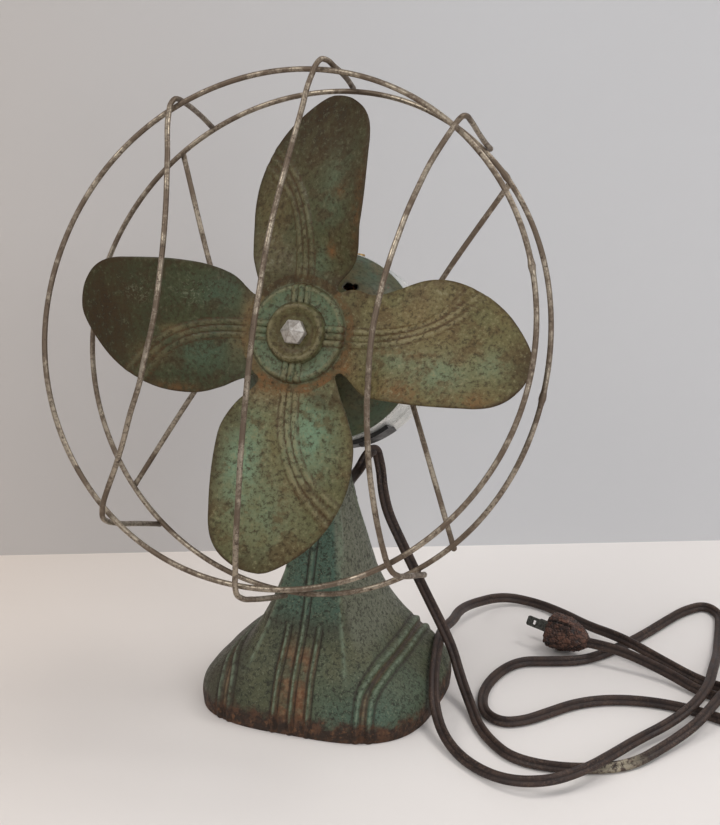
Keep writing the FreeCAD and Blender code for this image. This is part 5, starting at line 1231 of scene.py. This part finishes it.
def motor_cover():
    """Pressed cup turned about the shaft, open at four ragged vents whose edges wave in and out."""
    sides = 400
    profile = smooth_line(COVER_KNOTS, 110)
    grid = lathe(profile, sides)
    a = full_turn(sides)
    run = run_along(profile)
    vent_run = np.interp(VENT_OUT, profile[:, 1], run)
    open_share = np.zeros(grid.shape[:2])
    for k in range(4):
        turn = half_turns(a - VENT_ANGLE - k * np.pi / 2)
        along, across = np.broadcast_arrays((run - vent_run)[:, None], VENT_OUT * turn[None, :])
        way = np.arctan2(across, along)
        edge = VENT_R + 0.5 * np.sin(3 * way + k) + 0.35 * np.sin(5 * way + 2.1 * k) + 0.2 * np.sin(9 * way)
        open_share = np.maximum(open_share, edge / np.maximum(np.hypot(along, across), 1e-6))
    faces = quads(len(profile), sides, wrap_columns=True)
    faces = faces[(open_share.ravel()[faces] < 1).all(axis=1)]
    used = np.unique(faces)
    faces = np.searchsorted(used, faces)
    # dark: painted shade round the vents, strongest at their edges
    marks = {"dark": ease((open_share.ravel()[used] - 0.55) / 0.5)}
    cover = surface("motor_cover", from_shaft(grid.reshape(-1, 3)[used]), [faces], "head", ["front_cover"],
                    PAINT_COVER, 50, marks)
    wall = cover.modifiers.new("sheet", "SOLIDIFY")
    wall.thickness = SHEET * MM
    wall.offset = -1.0
    return cover


def strut_bosses():
    """Two posts on the cover that the struts are screwed to."""
    lines = [from_shaft(np.linspace((x, BOSS_FRONT, 0.0), (x, BOSS_REAR, 0.0), 12))
             for x in (-BOSS_OUT, BOSS_OUT)]
    return capped_tube("strut_bosses", lines, BOSS_R, "head", ["front_cover"], PAINT_COVER, 28,
                       (0.31, 0.17, 0.93))


def band_piece():
    """Band round the motor with a rolled bead at each seam and two shallow lines."""
    y = np.linspace(BAND_FRONT, BAND_REAR, 60)
    beads = hump(y, BAND_FRONT + 1.3, 0.8) + hump(y, BAND_REAR - 1.3, 0.8)
    lines = hump(y, BAND_FRONT + 4.2, 0.6) + hump(y, BAND_REAR - 4.2, 0.6)
    outer = np.stack([y, MOTOR_R + 0.55 * beads - 0.35 * lines], axis=1)
    inner = np.array([(BAND_REAR, MOTOR_R - SHEET), (BAND_FRONT, MOTOR_R - SHEET)])
    return lathe_piece("motor_hoop", np.concatenate([outer, inner])[::-1], "head", ["motor_band"],
                       BAND, 160)


motor_cover()
strut_bosses()
band_piece()

# ================================================================ stage and light
def flat_stage(name, corners, colour, rough):
    """Flat backdrop, a little uneven in tone, with painted shade that makes it darker and warmer towards the
    left and darker towards the top; the view sees through it from its rear side.
    """
    mesh = bpy.data.meshes.new(name)
    mesh.from_pydata([tuple(c) for c in corners], [], [(0, 1, 2, 3)])
    f = Finish(name)
    tone = f.pick(f.noise(2.2, 3), 0.3, 0.7, colour, tuple(c * 0.975 for c in colour))
    # painted shade: darker and warmer towards the left
    tone = f.pick(f.along("X"), 0.05, -0.40, tone, f.tint(tone, (0.90, 0.84, 0.78)))
    # painted shade: darker towards the top of the wall
    tone = f.pick(f.along("Z"), 0.10, 0.75, tone, f.tint(tone, (0.86, 0.86, 0.86)))
    f.set(Base_Color=tone, Roughness=rough, Normal=f.bump(f.noise(900, 2), 0.00005, 0.2))
    behind = f.times(f.add("NewGeometry", {}, "Backfacing"), f.add("LightPath", {}, "Is Camera Ray"))
    clear = f.add("BsdfTransparent", {})
    f.put(f.out, "Surface", f.add("MixShader", {0: behind, 1: f.shader.outputs[0], 2: clear}))
    mesh.materials.append(f.material)
    placed(name, mesh)


STAGE_LEFT, STAGE_RIGHT, STAGE_FRONT, STAGE_UNDER, WALL_TOP = -3.0, 3.6, -2.4, -0.0003, 3.0
WALL_NEAR, WALL_FAR = (STAGE_LEFT, -1.083), (STAGE_RIGHT, 1.833)
flat_stage("table", [(STAGE_LEFT, STAGE_FRONT, STAGE_UNDER), (STAGE_RIGHT, STAGE_FRONT, STAGE_UNDER),
                     (*WALL_FAR, STAGE_UNDER), (*WALL_NEAR, STAGE_UNDER)], (0.77, 0.725, 0.69), 0.5)
flat_stage("wall", [(*WALL_NEAR, STAGE_UNDER), (*WALL_FAR, STAGE_UNDER), (*WALL_FAR, WALL_TOP),
                    (*WALL_NEAR, WALL_TOP)], (0.575, 0.57, 0.573), 0.8)


def soft_light(name, at, towards, size, power, colour):
    """Square lamp at a place, turned towards another."""
    data = bpy.data.lights.new(name, "AREA")
    data.shape = "RECTANGLE"
    data.size, data.size_y = size, size
    data.energy = power
    data.color = colour
    lamp = placed(name, data)
    lamp.location = at
    way = mathutils.Vector(towards) - mathutils.Vector(at)
    lamp.rotation_euler = way.to_track_quat("-Z", "Y").to_euler()


soft_light("key", (-1.1, -1.3, 1.9), (0.0, 0.0, 0.15), 1.1, 19, (1.0, 0.985, 0.96))
soft_light("fill", (1.7, -1.5, 1.2), (0.05, 0.0, 0.15), 1.4, 15, (0.96, 0.98, 1.0))
soft_light("back", (0.75, 0.30, 1.35), (0.05, 0.0, 0.05), 0.45, 6, (1.0, 0.985, 0.97))
world = bpy.data.worlds.new("room")
scene.world = world
world.use_nodes = True
sky = world.node_tree.nodes["Background"]
sky.inputs["Color"].default_value = (0.93, 0.95, 1.0, 1.0)
sky.inputs["Strength"].default_value = 0.64
